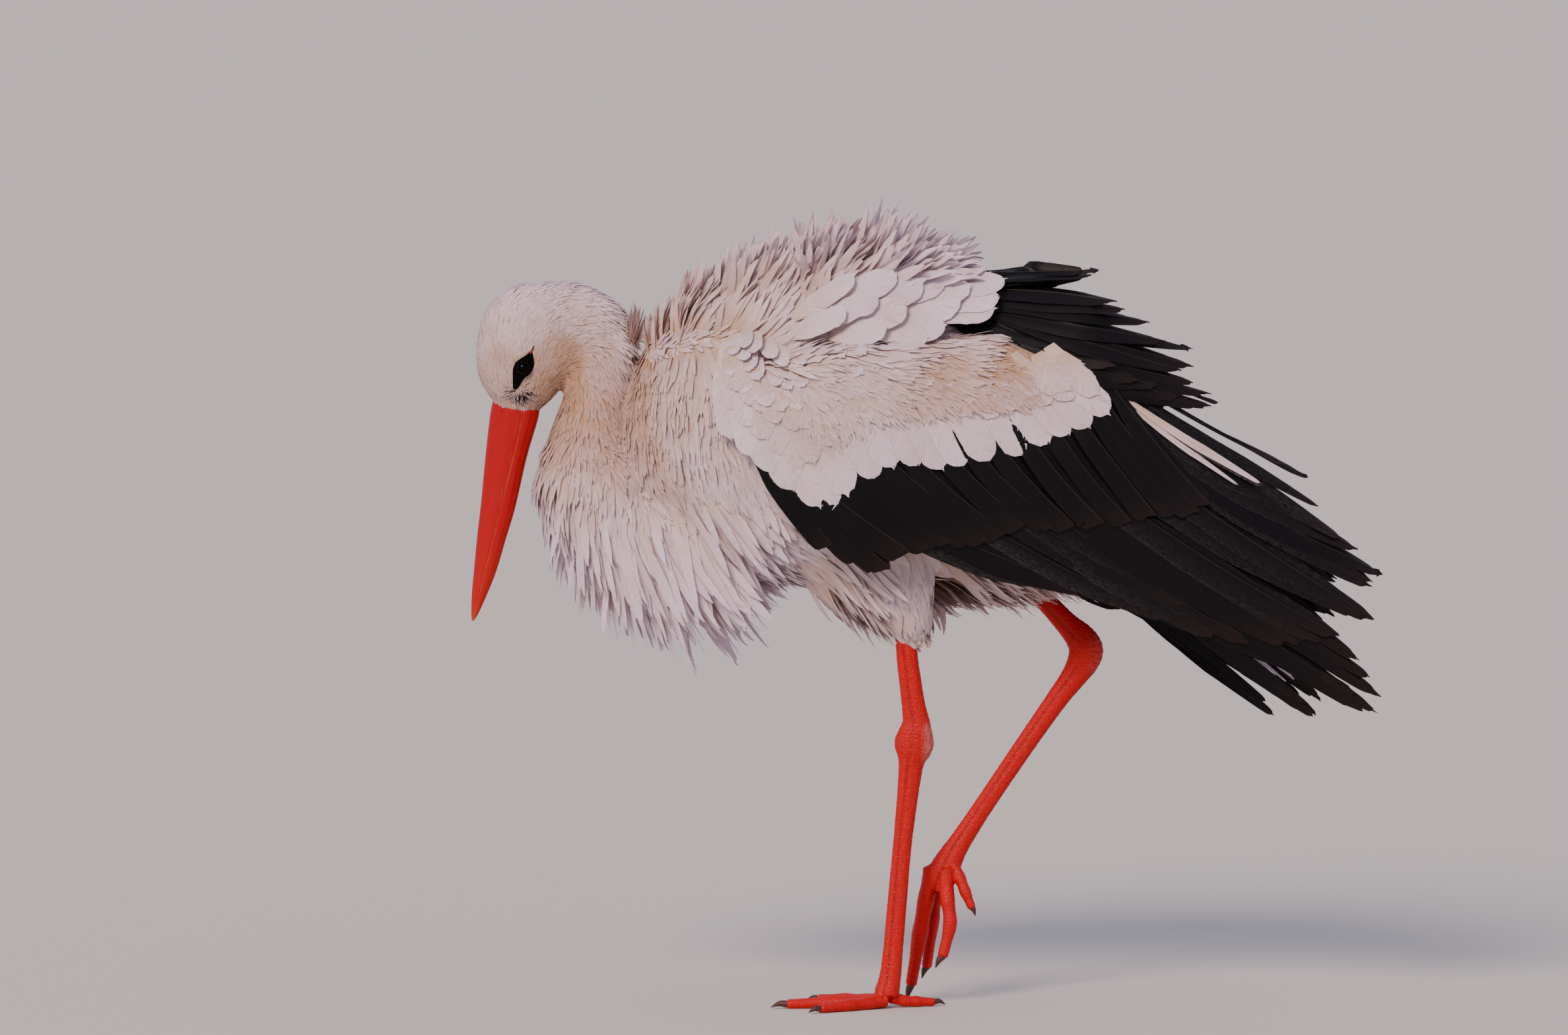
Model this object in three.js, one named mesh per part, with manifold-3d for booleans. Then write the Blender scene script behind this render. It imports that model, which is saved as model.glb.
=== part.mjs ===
// A life-size white stork, pacing with its head lowered and its plumage ruffled.
// Millimetres, +Z up. The bird faces -X, and its left side faces -Y.
// The origin is on the floor under the left leg, on which the bird stands.
import * as THREE from "three";
import { mergeVertices } from "three/addons/utils/BufferGeometryUtils.js";
import Module from "manifold-3d";

const wasm = await Module();
wasm.setup();

// ---------- Sizes ----------
// A station of a form is [x, y, z, half depth in the side view, half width across the bird].
const GAP = 0.4; // clearance between pieces that touch
const MIDPLANE = 20; // the body's plane of symmetry, to the right of the standing foot
const REACH_ACROSS = 200; // beyond the bird's half width, for cuts that go right through

const BILL = [
  [-305, 0, 500, 19, 12],
  [-307.6, 0, 489, 19.5, 12],
  [-314, 0, 458, 16.7, 10.3],
  [-320.8, 0, 416.5, 14.2, 8.4],
  [-331.4, 0, 364, 9.6, 5.8],
  [-340, 0, 329, 3.8, 2.8],
];
const GAPE = { base: [-297.5, 504], tip: [-341.5, 316] }; // the line on which the two halves of the bill meet
const BILL_BACK = 60; // deeper than either half of the bill
const EYE = { x: -300, z: 530, aside: 23.5, radius: 7.6 };
const HEAD = [
  [-307, 0, 496, 20, 15],
  [-304.5, 0, 508, 30, 22],
  [-301, 0, 527, 39.5, 27],
  [-293, 0, 549, 45.5, 31],
  [-284, 0, 568, 43, 30],
  [-276, 0, 586, 29, 21],
];
const NECK = [
  [-288, 0, 556, 40, 26],
  [-262, 0, 561, 37, 27],
  [-243, 0, 549, 34, 27],
  [-239, 0, 525, 28, 26],
  [-241, 0, 500, 29, 29],
  [-246, 0, 472, 35, 36],
  [-243, 0, 440, 44, 45],
  [-222, 0, 410, 46, 54],
];
const HEAD_REGION = [[-400, 660], [-236, 660], [-263, 523], [-285, 470], [-400, 470]]; // what counts as head
const NECK_PARTING = 478; // the height of the cut between the neck's two lengths

const TRUNK = [
  [-198, 0, 476, 62, 52],
  [-160, 0, 480, 110, 82],
  [-100, 0, 489, 139, 102],
  [-25, 0, 487, 147, 104],
  [45, 0, 470, 132, 94],
  [110, 0, 443, 100, 76],
  [170, 0, 415, 62, 52],
  [222, 0, 392, 30, 28],
];
const MANTLE_SWELL = 5; // how far the ruffled mantle stands proud of the trunk
const MANTLE_OUTLINE = [
  [-240, 530], [-205, 512], [-150, 522], [-90, 540], [-30, 549],
  [30, 551], [72, 560], [110, 590], [110, 690], [-240, 690],
];
const MANTLE_REAR = [
  [-20, 0, 588, 38, 66],
  [30, 0, 590, 36, 62],
  [76, 0, 586, 27, 54],
]; // where the mantle's last feathers lie over the wings
const RIDGE = {
  tips: [[-199, 577], [-161, 615], [-106, 640], [-30, 650], [24, 650], [70, 628], [97, 594]],
  roots: [[-178, 545], [-150, 572], [-100, 592], [-50, 600], [-8, 602], [26, 590], [44, 570]],
  rows: [
    { aside: 0, count: 11, lower: 0 },
    { aside: 30, count: 8, lower: 9 },
    { aside: 54, count: 4, lower: 27 },
  ],
  radius: 21,
};
const RUFF = [
  [-270, 0, 452, 17, 24],
  [-260, 0, 424, 30, 42],
  [-236, 0, 400, 42, 52],
  [-200, 0, 384, 46, 57],
  [-156, 0, 370, 34, 56],
  [-112, 0, 364, 20, 46],
];
const PLUMES = {
  tips: [
    [-294, 408], [-278, 380], [-252, 335], [-224, 314],
    [-190, 300], [-150, 294], [-118, 324], [-90, 354],
  ],
  roots: [
    [-266, 450], [-254, 426], [-232, 402], [-212, 388],
    [-190, 380], [-170, 374], [-150, 370], [-132, 372],
  ],
  rows: [{ aside: 8, count: 10, shorter: 0 }, { aside: 36, count: 6, shorter: 0.18 }],
  radius: 17,
};
const BELLY_FRINGE = { from: [-70, 364], to: [112, 358], count: 7, sweep: 14, drop: 30, radius: 18 };
const TAIL = { root: [176, 412], tip: [338, 276], feathers: 5, rootSpread: 19, tipSpread: 32, fan: 0.06 };
// A tail feather's stations: [share of its length, half width, half depth].
const TAIL_FEATHER = [[0, 12, 9], [0.5, 15, 6.4], [0.9, 12, 4.2], [1, 5, 3.6]];

// The folded wing lies over the body like half a roof: at each x, how high its ridge is, how far
// down it is widest, and how wide it is there.
const ROOF = [
  { x: -150, ridge: 612, drop: 128, width: 88 },
  { x: -100, ridge: 630, drop: 140, width: 102 },
  { x: -25, ridge: 634, drop: 146, width: 107 },
  { x: 45, ridge: 610, drop: 140, width: 100 },
  { x: 110, ridge: 608, drop: 150, width: 91 },
  { x: 166, ridge: 603, drop: 152, width: 82 },
  { x: 250, ridge: 531, drop: 146, width: 68 },
  { x: 340, ridge: 437, drop: 126, width: 48 },
  { x: 410, ridge: 352, drop: 96, width: 30 },
];
const ROOF_SHAPE = { edge: 4, power: 0.55, tuck: 0.26 }; // half the gap at the ridge, roundness, lower hem
const HEM_LINES = [-0.5, 0, 0.09, 0.35, 0.75, 1.3, 1.9, 2.9]; // lines along the roof, as shares of its drop
const WING_THICKNESS = { root: 7, tip: 3, from: -60, to: 400, into: 16 };
const SHOULDER = { x: -60, z: 490 };
const FAR_WING = { droop: THREE.MathUtils.degToRad(1), forward: 26 }; // the right wing hangs lower
const COVERT_FIELD = [
  [-126, 542], [-70, 558], [10, 562], [100, 568], [165, 538], [192, 512],
  [150, 478], [60, 462], [-20, 448], [-60, 440], [-108, 470], [-132, 505],
];
// Rows of feathers, each with its roots and its tips on two lines of the side view. Each lies over the next.
const WING_ROWS = [
  {
    name: "scapulars", count: 8, width: 26, bow: -0.03, height: 1.9,
    roots: [[20, 592], [28, 572], [50, 556], [90, 550]],
    tips: [[166, 604], [191, 570], [252, 530], [268, 497], [188, 520]],
  },
  {
    name: "coverts", count: 11, width: 29, bow: 0, height: 1.55,
    roots: [[-122, 500], [-60, 490], [60, 500], [150, 520]],
    tips: [[-108, 454], [-52, 412], [14, 440], [80, 452], [140, 470], [190, 488]],
  },
  {
    name: "greater_coverts", count: 10, width: 38, bow: 0.03, height: 1.25,
    roots: [[-114, 494], [-70, 480], [40, 480], [170, 505]],
    tips: [[-2, 366], [60, 388], [160, 398], [258, 413]],
  },
  {
    name: "secondaries", count: 10, width: 35, bow: 0.015, height: 1,
    roots: [[-10, 392], [60, 430], [130, 465], [175, 512]],
    tips: [[240, 328], [330, 303], [378, 308], [396, 340], [402, 362], [342, 437]],
  },
  {
    name: "primaries", count: 4, width: 30, bow: 0.02, height: 0.8,
    roots: [[20, 384], [110, 410], [190, 420]],
    tips: [[360, 288], [394, 239], [404, 249]],
  },
];

const LEGS = {
  left: {
    outwards: -1,
    hip: [-14, -36, 420],
    cuff: [22, -27, 310],
    ankle: [22, -24, 219],
    foot: [0, -MIDPLANE, 12],
    pad: 5.5,
    thigh: [52, 42, 26, 12],
  },
  right: {
    outwards: 1,
    hip: [60, 34, 432],
    cuff: [120, 31, 358],
    ankle: [171, 29, 293],
    foot: [46, 28, 112],
    pad: 8,
    thigh: [34, 28, 20, 12],
  },
};
const THIGH_WIDTH = [36, 32, 20, 9.5];
const THIGH_SHARES = [0, 0.45, 0.8, 1.02];
// Lengths of bare leg between two joints: [share of the way, half depth, half width].
const TIBIA_GIRTH = [
  [0, 9, 6.5], [0.4, 8.6, 6.2], [0.68, 10.4, 6.8], [0.86, 15, 9.4], [1, 15.6, 10.2], [1.06, 12, 8],
];
const TARSUS_GIRTH = [
  [-0.015, 14, 9.6], [0.06, 11.5, 8.5], [0.14, 8.4, 6.6], [0.5, 7.4, 5.6], [0.88, 7.8, 6], [0.98, 9, 8],
];
// Toes as offsets from the foot's joint, [x, outwards, z], the last being the claw's tip.
const TOES = {
  left: {
    inner: [[-7, -8, -7.6], [-34, -24, -8.6], [-56, -38, -9.2], [-67, -45, -10.8]],
    middle: [[-9, 0, -7.6], [-44, 2, -8.6], [-82, 6, -9.2], [-96, 7, -10.8]],
    outer: [[-7, 8, -7.6], [-32, 26, -8.6], [-55, 43, -9.2], [-65, 51, -10.8]],
    hind: [[8, -3, -6], [24, -9, -8.6], [38, -14, -9.2], [48, -18, -10.8]],
  },
  right: {
    inner: [[3, -12, -7], [6, -15, -44], [1, -16, -71], [-5, -16, -81]],
    middle: [[-10, 0, -4], [-19, 0, -54], [-26, 0, -97], [-30, 0, -112.6]],
    outer: [[-3, 11, -6], [-8, 16, -46], [-13, 18, -83], [-17, 18, -93]],
    hind: [[8, -6, 6], [16, -9, -11], [21, -11, -25], [26, -12, -37]],
  },
};
const TOE = { radius: 4.6, taper: 0.13, breadth: 1.12 };
const CLAW = { base: 3.2, middle: 2.8, tip: 1.3, breadth: 1.14 };

// ---------- Finishes ----------
const finish = (color, roughness) => new THREE.MeshStandardMaterial({ color, roughness, metalness: 0 });
const WHITE_FEATHER = finish(0xe9e2da, 0.8);
const CREAM_FEATHER = finish(0xdcc9ad, 0.82);
const BLACK_FEATHER = finish(0x1b181c, 0.5);
const RED_SKIN = finish(0xd8210f, 0.45);
const RED_HORN = finish(0xd31a12, 0.3);
const CLAW_HORN = finish(0x5a2f28, 0.4);
const DARK_EYE = finish(0x120c0a, 0.08);

// ---------- Making, joining and cutting solids ----------
function solid(geometry) {
  const bare = new THREE.BufferGeometry().setAttribute("position", geometry.getAttribute("position"));
  const merged = mergeVertices(geometry.index ? bare.setIndex(geometry.index) : bare, 1e-3);
  return new wasm.Manifold(
    new wasm.Mesh({
      numProp: 3,
      vertProperties: new Float32Array(merged.attributes.position.array),
      triVerts: new Uint32Array(merged.index.array),
    }),
  );
}

function geometryOf(piece) {
  const { vertProperties, triVerts } = piece.getMesh();
  return new THREE.BufferGeometry()
    .setAttribute("position", new THREE.BufferAttribute(new Float32Array(vertProperties), 3))
    .setIndex(new THREE.BufferAttribute(new Uint32Array(triVerts), 1));
}

const joined = (solids) => solids.reduce((all, next) => all.add(next));
const without = (piece, cutters) => cutters.reduce((left, cutter) => left.subtract(cutter), piece);

// The largest body of a solid, so that no sliver is left beside it.
function mainBody(piece) {
  return piece.decompose().reduce((best, next) => (next.volume() > best.volume() ? next : best));
}

const nodes = new THREE.Group();

function addNode(name, piece, material) {
  const geometry = geometryOf(mainBody(piece));
  geometry.computeVertexNormals();
  const mesh = new THREE.Mesh(geometry, material);
  mesh.name = name;
  nodes.add(mesh);
}

const between = (from, to, share) => from.map((value, axis) => THREE.MathUtils.lerp(value, to[axis], share));

// A closed form through stations, as a sphere's rings moved onto its spine.
function form(stations, { sides = 12, rings = 10, grow = 0, cap = 0.5 } = {}) {
  const smooth = (points) => new THREE.CatmullRomCurve3(points, false, "catmullrom", 0.5);
  const spine = smooth(stations.map(([x, y, z]) => new THREE.Vector3(x, y, z)));
  const girth = smooth(stations.map(([, , , deep, wide]) => new THREE.Vector3(deep, wide, 0)));
  const geometry = new THREE.SphereGeometry(1, sides, rings);
  const at = geometry.getAttribute("position");
  for (let i = 0; i < at.count; i++) {
    const ring = Math.round((Math.acos(THREE.MathUtils.clamp(at.getY(i), -1, 1)) / Math.PI) * rings);
    const along = THREE.MathUtils.clamp((ring - 1) / (rings - 2), 0, 1);
    const centre = spine.getPoint(along);
    const ahead = spine.getTangent(along);
    const size = girth.getPoint(along);
    const across = new THREE.Vector3(0, 1, 0).addScaledVector(ahead, -ahead.y).normalize();
    const up = new THREE.Vector3().crossVectors(across, ahead);
    if (ring === 0 || ring === rings) {
      const out = (ring === 0 ? -1 : 1) * (cap * Math.min(size.x, size.y) + grow);
      centre.addScaledVector(ahead, out);
    } else {
      const turn = Math.atan2(at.getZ(i), at.getX(i));
      centre.addScaledVector(up, Math.cos(turn) * (size.x + grow));
      centre.addScaledVector(across, Math.sin(turn) * (size.y + grow));
    }
    at.setXYZ(i, centre.x, centre.y, centre.z);
  }
  return solid(geometry);
}

// An outline [x, z] of the side view, run across the bird.
function slab(outline, low = -REACH_ACROSS, high = REACH_ACROSS) {
  const shape = new THREE.Shape(outline.map(([x, z]) => new THREE.Vector2(x, z)));
  const geometry = new THREE.ExtrudeGeometry(shape, { depth: high - low, bevelEnabled: false });
  return solid(geometry.rotateX(Math.PI / 2).translate(0, high, 0));
}

// A ruffled tuft: a slim pyramid from its root to its tip.
function tuft(root, tip, radius) {
  const from = new THREE.Vector3(...root);
  const way = new THREE.Vector3(...tip).sub(from);
  const geometry = new THREE.ConeGeometry(radius, way.length(), 3, 1).translate(0, way.length() / 2, 0);
  const turn = new THREE.Quaternion().setFromUnitVectors(new THREE.Vector3(0, 1, 0), way.clone().normalize());
  return solid(geometry.applyQuaternion(turn).translate(from.x, from.y, from.z));
}

const curve = (points) => new THREE.SplineCurve(points.map(([x, z]) => new THREE.Vector2(x, z)));

// ---------- Head, bill and eyes ----------
const headForm = (grow) => form(HEAD, { sides: 10, rings: 8, grow });
const billForm = (grow) => form(BILL, { sides: 10, rings: 8, grow, cap: 1.6 });
const neckForm = (grow) => form(NECK, { sides: 10, rings: 10, grow });

function addHead() {
  const gape = [GAPE.base, GAPE.tip].map(([x, z]) => new THREE.Vector2(x, z));
  const behind = gape[1].clone().sub(gape[0]).normalize().rotateAround(new THREE.Vector2(), Math.PI / 2);
  const behindGape = (gap) => {
    const near = gape.map((end) => end.clone().addScaledVector(behind, gap));
    const far = near.map((end) => end.clone().addScaledVector(behind, BILL_BACK)).reverse();
    return slab([...near, ...far].map((end) => end.toArray()));
  };
  addNode("bill_upper", billForm(0).subtract(behindGape(-GAP / 2)), RED_HORN);
  addNode("bill_lower", billForm(0).intersect(behindGape(GAP / 2)), RED_HORN);

  const eyeBall = (side, grow) => {
    const ball = new THREE.SphereGeometry(EYE.radius + grow, 9, 6);
    return solid(ball.translate(EYE.x, side * EYE.aside, EYE.z));
  };
  addNode("eye_left", eyeBall(-1, 0), DARK_EYE);
  addNode("eye_right", eyeBall(1, 0), DARK_EYE);

  const region = slab(HEAD_REGION);
  const whole = joined([headForm(0), neckForm(0)]);
  const sockets = [eyeBall(-1, GAP), eyeBall(1, GAP)];
  addNode("head", without(whole.intersect(region), [billForm(GAP), ...sockets]), WHITE_FEATHER);
  const neck = whole.subtract(region.translate([GAP, 0, 0]));
  const aboveParting = slab([[-400, NECK_PARTING], [0, NECK_PARTING], [0, 700], [-400, 700]]);
  addNode("neck_upper", neck.intersect(aboveParting), CREAM_FEATHER);
  addNode("neck_lower", without(neck, [aboveParting.translate([0, 0, -GAP]), ruffForm(GAP)]), CREAM_FEATHER);
}

// ---------- Trunk, mantle and ruff ----------
const trunkForm = (grow) => form(TRUNK, { sides: 14, rings: 10, grow });
const bareNeck = (grow) => joined([neckForm(grow), headForm(grow)]);

// Tufts in rows on both sides of the midplane; place(along, row) gives a tuft's root and tip.
function rowsOfTufts(rows, radius, place) {
  const tufts = [];
  for (const row of rows) {
    for (const side of row.aside ? [-1, 1] : [0]) {
      for (let i = 0; i < row.count; i++) {
        const [root, tip] = place(i / (row.count - 1), row);
        tufts.push(tuft([root.x, side * row.aside * 0.8, root.y], [tip.x, side * row.aside, tip.y], radius));
      }
    }
  }
  return tufts;
}

function mantleForm(grow) {
  const [tips, roots] = [curve(RIDGE.tips), curve(RIDGE.roots)];
  const down = new THREE.Vector2(0, -1);
  const tufts = rowsOfTufts(RIDGE.rows, RIDGE.radius + 2 * grow, (along, row) => [
    roots.getPoint(along).addScaledVector(down, row.lower),
    tips.getPoint(along).addScaledVector(down, row.lower),
  ]);
  const outline = MANTLE_OUTLINE.map(([x, z]) => [x, z > 600 ? z : z - grow]);
  const rear = form(MANTLE_REAR, { sides: 10, rings: 5, grow });
  return joined([trunkForm(MANTLE_SWELL + grow).intersect(slab(outline)), rear, ...tufts]);
}

function ruffForm(grow) {
  const [tips, roots] = [curve(PLUMES.tips), curve(PLUMES.roots)];
  const plumes = rowsOfTufts(PLUMES.rows, PLUMES.radius + 2 * grow, (along, row) => {
    const root = roots.getPoint(along);
    return [root, tips.getPoint(along).lerp(root, row.shorter)];
  });
  return joined([form(RUFF, { sides: 10, rings: 6, grow }), ...plumes]);
}

function bellyFringe() {
  const { from, to, count, sweep, drop, radius } = BELLY_FRINGE;
  return Array.from({ length: count }, (_, i) => {
    const [x, z] = between(from, to, i / (count - 1));
    return tuft([x, 0, z], [x + sweep, 0, z - drop], radius);
  });
}

// ---------- Wings ----------
// The roof's measures at one x.
function roofAt(x) {
  const after = ROOF.findIndex((station) => station.x > x);
  const end = after < 0 ? ROOF.length - 1 : Math.max(after, 1);
  const [one, two] = [ROOF[end - 1], ROOF[end]];
  const share = (x - one.x) / (two.x - one.x);
  const at = (key) => THREE.MathUtils.lerp(one[key], two[key], share);
  return { ridge: at("ridge"), drop: at("drop"), width: at("width") };
}

// Distance of the wing's inner face from the midplane.
function wingReach(x, z) {
  const { ridge, drop, width } = roofAt(x);
  const down = (ridge - z) / drop;
  const { edge, power, tuck } = ROOF_SHAPE;
  const upper = (1 - (1 - THREE.MathUtils.clamp(down, 0, 1)) ** 2) ** power;
  const lower = 1 - tuck * Math.max(down - 1, 0) ** 2;
  return edge + (width - edge) * upper * lower;
}

// The layer of the wing from a depth beneath its inner face to a height above it.
function wingLayer(depth, height) {
  const rows = HEM_LINES.length - 1;
  const box = new THREE.BoxGeometry(1, 1, 1, 7, 1, rows);
  const at = box.getAttribute("position");
  const { root, tip, from, to } = WING_THICKNESS;
  for (let i = 0; i < at.count; i++) {
    const x = THREE.MathUtils.lerp(ROOF[0].x, ROOF.at(-1).x, at.getX(i) + 0.5);
    const { ridge, drop } = roofAt(x);
    const z = ridge - drop * HEM_LINES[Math.round((0.5 - at.getZ(i)) * rows)];
    const thickness = THREE.MathUtils.mapLinear(THREE.MathUtils.clamp(x, from, to), from, to, root, tip);
    const reach = wingReach(x, z);
    at.setXYZ(i, x, at.getY(i) < 0 ? -(reach + height * thickness) : -Math.max(reach - depth, 1), z);
  }
  return solid(box);
}

// One feather's outline in the side view, bowed downwards by a share of its length.
function blade(root, tip, width, bow) {
  const way = tip.clone().sub(root);
  const beside = new THREE.Vector2(-way.y, way.x).normalize();
  const spot = (along, aside) => {
    const sag = -4 * bow * along * (1 - along) * way.length();
    return root.clone().addScaledVector(way, along).addScaledVector(beside, aside * width + sag).toArray();
  };
  const lower = [spot(0, -0.4), spot(0.5, -0.5), spot(0.88, -0.44)];
  const upper = [spot(0.88, 0.44), spot(0.5, 0.5), spot(0, 0.4)];
  return slab([...lower, spot(1, 0), ...upper], -REACH_ACROSS, 0);
}

// A row of feathers whose roots and tips lie evenly along two curves.
function featherRow({ count, roots, tips, width, bow }, grow) {
  return Array.from({ length: count }, (_, i) => {
    const root = curve(roots).getPoint(i / (count - 1));
    const tip = curve(tips).getPoint(i / (count - 1));
    const way = tip.clone().sub(root).normalize();
    return blade(root.addScaledVector(way, -grow), tip.addScaledVector(way, grow), width + 2 * grow, bow);
  });
}

function wingRow(row, grow) {
  const blades = featherRow(row, grow);
  if (row.name === "coverts") {
    const centre = new THREE.Vector2(20, 505);
    const field = COVERT_FIELD.map(([x, z]) => {
      const spot = new THREE.Vector2(x, z);
      return spot.add(spot.clone().sub(centre).setLength(grow)).toArray();
    });
    blades.push(slab(field, -REACH_ACROSS, 0));
  }
  const depth = row.name === "coverts" ? WING_THICKNESS.into : 0;
  return joined(blades).intersect(wingLayer(depth + grow, row.height + grow / WING_THICKNESS.root));
}

// A left-hand solid as the right wing's: mirrored, turned down about the shoulder and set forward.
function onFarSide(piece) {
  const geometry = geometryOf(piece).translate(-SHOULDER.x, 0, -SHOULDER.z).scale(1, -1, 1);
  const corners = geometry.index.array;
  for (let i = 0; i < corners.length; i += 3) {
    [corners[i], corners[i + 1]] = [corners[i + 1], corners[i]];
  }
  return solid(geometry.rotateY(FAR_WING.droop).translate(SHOULDER.x - FAR_WING.forward, 0, SHOULDER.z));
}

// Each row is cut clear of the body and of the rows that lie over it.
function addWings(body) {
  const rowsAbove = [];
  for (const row of WING_ROWS) {
    const piece = without(wingRow(row, 0), rowsAbove);
    const material = row.name === "coverts" ? CREAM_FEATHER : BLACK_FEATHER;
    addNode("wing_left_" + row.name, without(piece, body), material);
    addNode("wing_right_" + row.name, without(onFarSide(piece), body), material);
    rowsAbove.push(wingRow(row, GAP));
  }
  return [...rowsAbove, ...rowsAbove.map(onFarSide)];
}

// ---------- Tail ----------
function tailForm() {
  const root = new THREE.Vector3(TAIL.root[0], 0, TAIL.root[1]);
  const way = new THREE.Vector3(TAIL.tip[0], 0, TAIL.tip[1]).sub(root);
  const feathers = Array.from({ length: TAIL.feathers }, (_, i) => {
    const aside = (2 * i) / (TAIL.feathers - 1) - 1;
    const stations = TAIL_FEATHER.map(([share, wide, deep]) => {
      const spot = root.clone().addScaledVector(way, share * (1 - TAIL.fan * aside * aside));
      const y = aside * THREE.MathUtils.lerp(TAIL.rootSpread, TAIL.tipSpread, share);
      return [spot.x, y, spot.z, deep, wide];
    });
    return form(stations, { sides: 4, rings: 4 });
  });
  return joined(feathers);
}

// ---------- Legs ----------
// The feathered thigh, down to the cuff where the bare leg begins.
function thighForm({ hip, cuff, thigh }, grow) {
  const stations = THIGH_SHARES.map((share, i) => [...between(hip, cuff, share), thigh[i], THIGH_WIDTH[i]]);
  return form(stations, { sides: 8, rings: 5, grow });
}

function legLength(from, to, girth, grow) {
  const stations = girth.map(([share, deep, wide]) => [...between(from, to, share), deep, wide]);
  return form(stations, { sides: 7, rings: 7, grow });
}

const knee = ({ hip, cuff }) => between(cuff, hip, 0.25);
const tibiaForm = (leg, grow) => legLength(knee(leg), leg.ankle, TIBIA_GIRTH, grow);
const tarsusForm = ({ ankle, foot }, grow) => legLength(ankle, foot, TARSUS_GIRTH, grow);

// The joint from which the toes spread.
function footForm({ foot, pad }, grow) {
  const [x, y, z] = foot;
  return form(
    [
      [x + 8, y, z + 3, 8, 8],
      [x, y, z - pad, 8, 11],
      [x - 9, y, z - pad, 6.5, 12],
    ],
    { sides: 8, rings: 5, grow },
  );
}

function addToe(leg, name, offsets, cutters) {
  const at = ([x, out, z]) => [leg.foot[0] + x, leg.foot[1] + leg.outwards * out, leg.foot[2] + z];
  const joints = offsets.slice(0, -1).map(at);
  const stations = joints.map((joint, i) => {
    const radius = TOE.radius * (1 - TOE.taper * i);
    return [...joint, radius, radius * TOE.breadth];
  });
  const toe = (grow) => form(stations, { sides: 6, rings: 4, grow });
  addNode("toe_" + name, without(toe(0), cutters), RED_SKIN);
  const [last, tip] = [joints.at(-1), at(offsets.at(-1))];
  const clawStations = [
    [...last, CLAW.base, CLAW.base * CLAW.breadth],
    [...between(last, tip, 0.5), CLAW.middle, CLAW.middle * CLAW.breadth],
    [...tip, CLAW.tip, CLAW.tip],
  ];
  const claw = form(clawStations, { sides: 4, rings: 4 });
  addNode("claw_" + name, without(claw, [toe(GAP), ...cutters]), CLAW_HORN);
  return toe(GAP);
}

function addLeg(which) {
  const leg = LEGS[which];
  const floor = slab([[-400, -60], [400, -60], [400, 0], [-400, 0]]);
  addNode("thigh_" + which, thighForm(leg, 0).subtract(tibiaForm(leg, GAP)), WHITE_FEATHER);
  addNode("tibia_" + which, tibiaForm(leg, 0).subtract(tarsusForm(leg, GAP)), RED_SKIN);
  addNode("tarsus_" + which, without(tarsusForm(leg, 0), [footForm(leg, GAP), floor]), RED_SKIN);
  addNode("foot_" + which, footForm(leg, 0).subtract(floor), RED_SKIN);
  const cutters = [footForm(leg, GAP), tarsusForm(leg, GAP), floor];
  for (const [toe, offsets] of Object.entries(TOES[which])) {
    cutters.push(addToe(leg, which + "_" + toe, offsets, cutters));
  }
}

// ---------- The whole bird ----------
addHead();
const mantle = mantleForm(GAP);
const neck = bareNeck(GAP);
const thighs = Object.values(LEGS).map((leg) => thighForm(leg, GAP));
const wings = addWings([trunkForm(GAP), mantle, ...Object.values(LEGS).map((leg) => tibiaForm(leg, GAP))]);
addNode("mantle", mantleForm(0).subtract(neck), WHITE_FEATHER);
addNode("trunk", without(joined([trunkForm(0), ...bellyFringe()]), [mantle, neck, ...thighs]), WHITE_FEATHER);
addNode("ruff", ruffForm(0).subtract(trunkForm(GAP)), WHITE_FEATHER);
addNode("tail", without(tailForm(), [trunkForm(GAP), ...wings]), WHITE_FEATHER);
addLeg("left");
addLeg("right");

nodes.position.y = MIDPLANE;
export default nodes;
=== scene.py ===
import math

import bpy
import numpy as np
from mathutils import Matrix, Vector
from mathutils.bvhtree import BVHTree


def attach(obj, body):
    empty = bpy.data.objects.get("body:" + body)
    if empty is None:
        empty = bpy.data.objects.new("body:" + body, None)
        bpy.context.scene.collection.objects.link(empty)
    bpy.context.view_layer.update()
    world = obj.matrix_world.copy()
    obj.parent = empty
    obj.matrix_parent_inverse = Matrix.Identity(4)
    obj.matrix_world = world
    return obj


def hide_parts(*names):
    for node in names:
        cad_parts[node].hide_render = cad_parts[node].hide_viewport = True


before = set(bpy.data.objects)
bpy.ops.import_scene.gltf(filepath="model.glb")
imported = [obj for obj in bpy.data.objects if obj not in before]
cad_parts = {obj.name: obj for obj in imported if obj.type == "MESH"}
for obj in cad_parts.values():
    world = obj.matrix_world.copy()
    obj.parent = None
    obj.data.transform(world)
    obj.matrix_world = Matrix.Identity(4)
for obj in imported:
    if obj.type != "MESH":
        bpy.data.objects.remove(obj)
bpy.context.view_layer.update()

# A life-size white stork, pacing with its head lowered and its plumage ruffled.
# The tables are in millimetres. The bird faces -X and its left side faces -Y. Here Y is counted
# from the bird's plane of symmetry, which lies MIDPLANE to the right of the standing foot.
MIDPLANE = 20.0
rng = np.random.default_rng(41)

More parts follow.
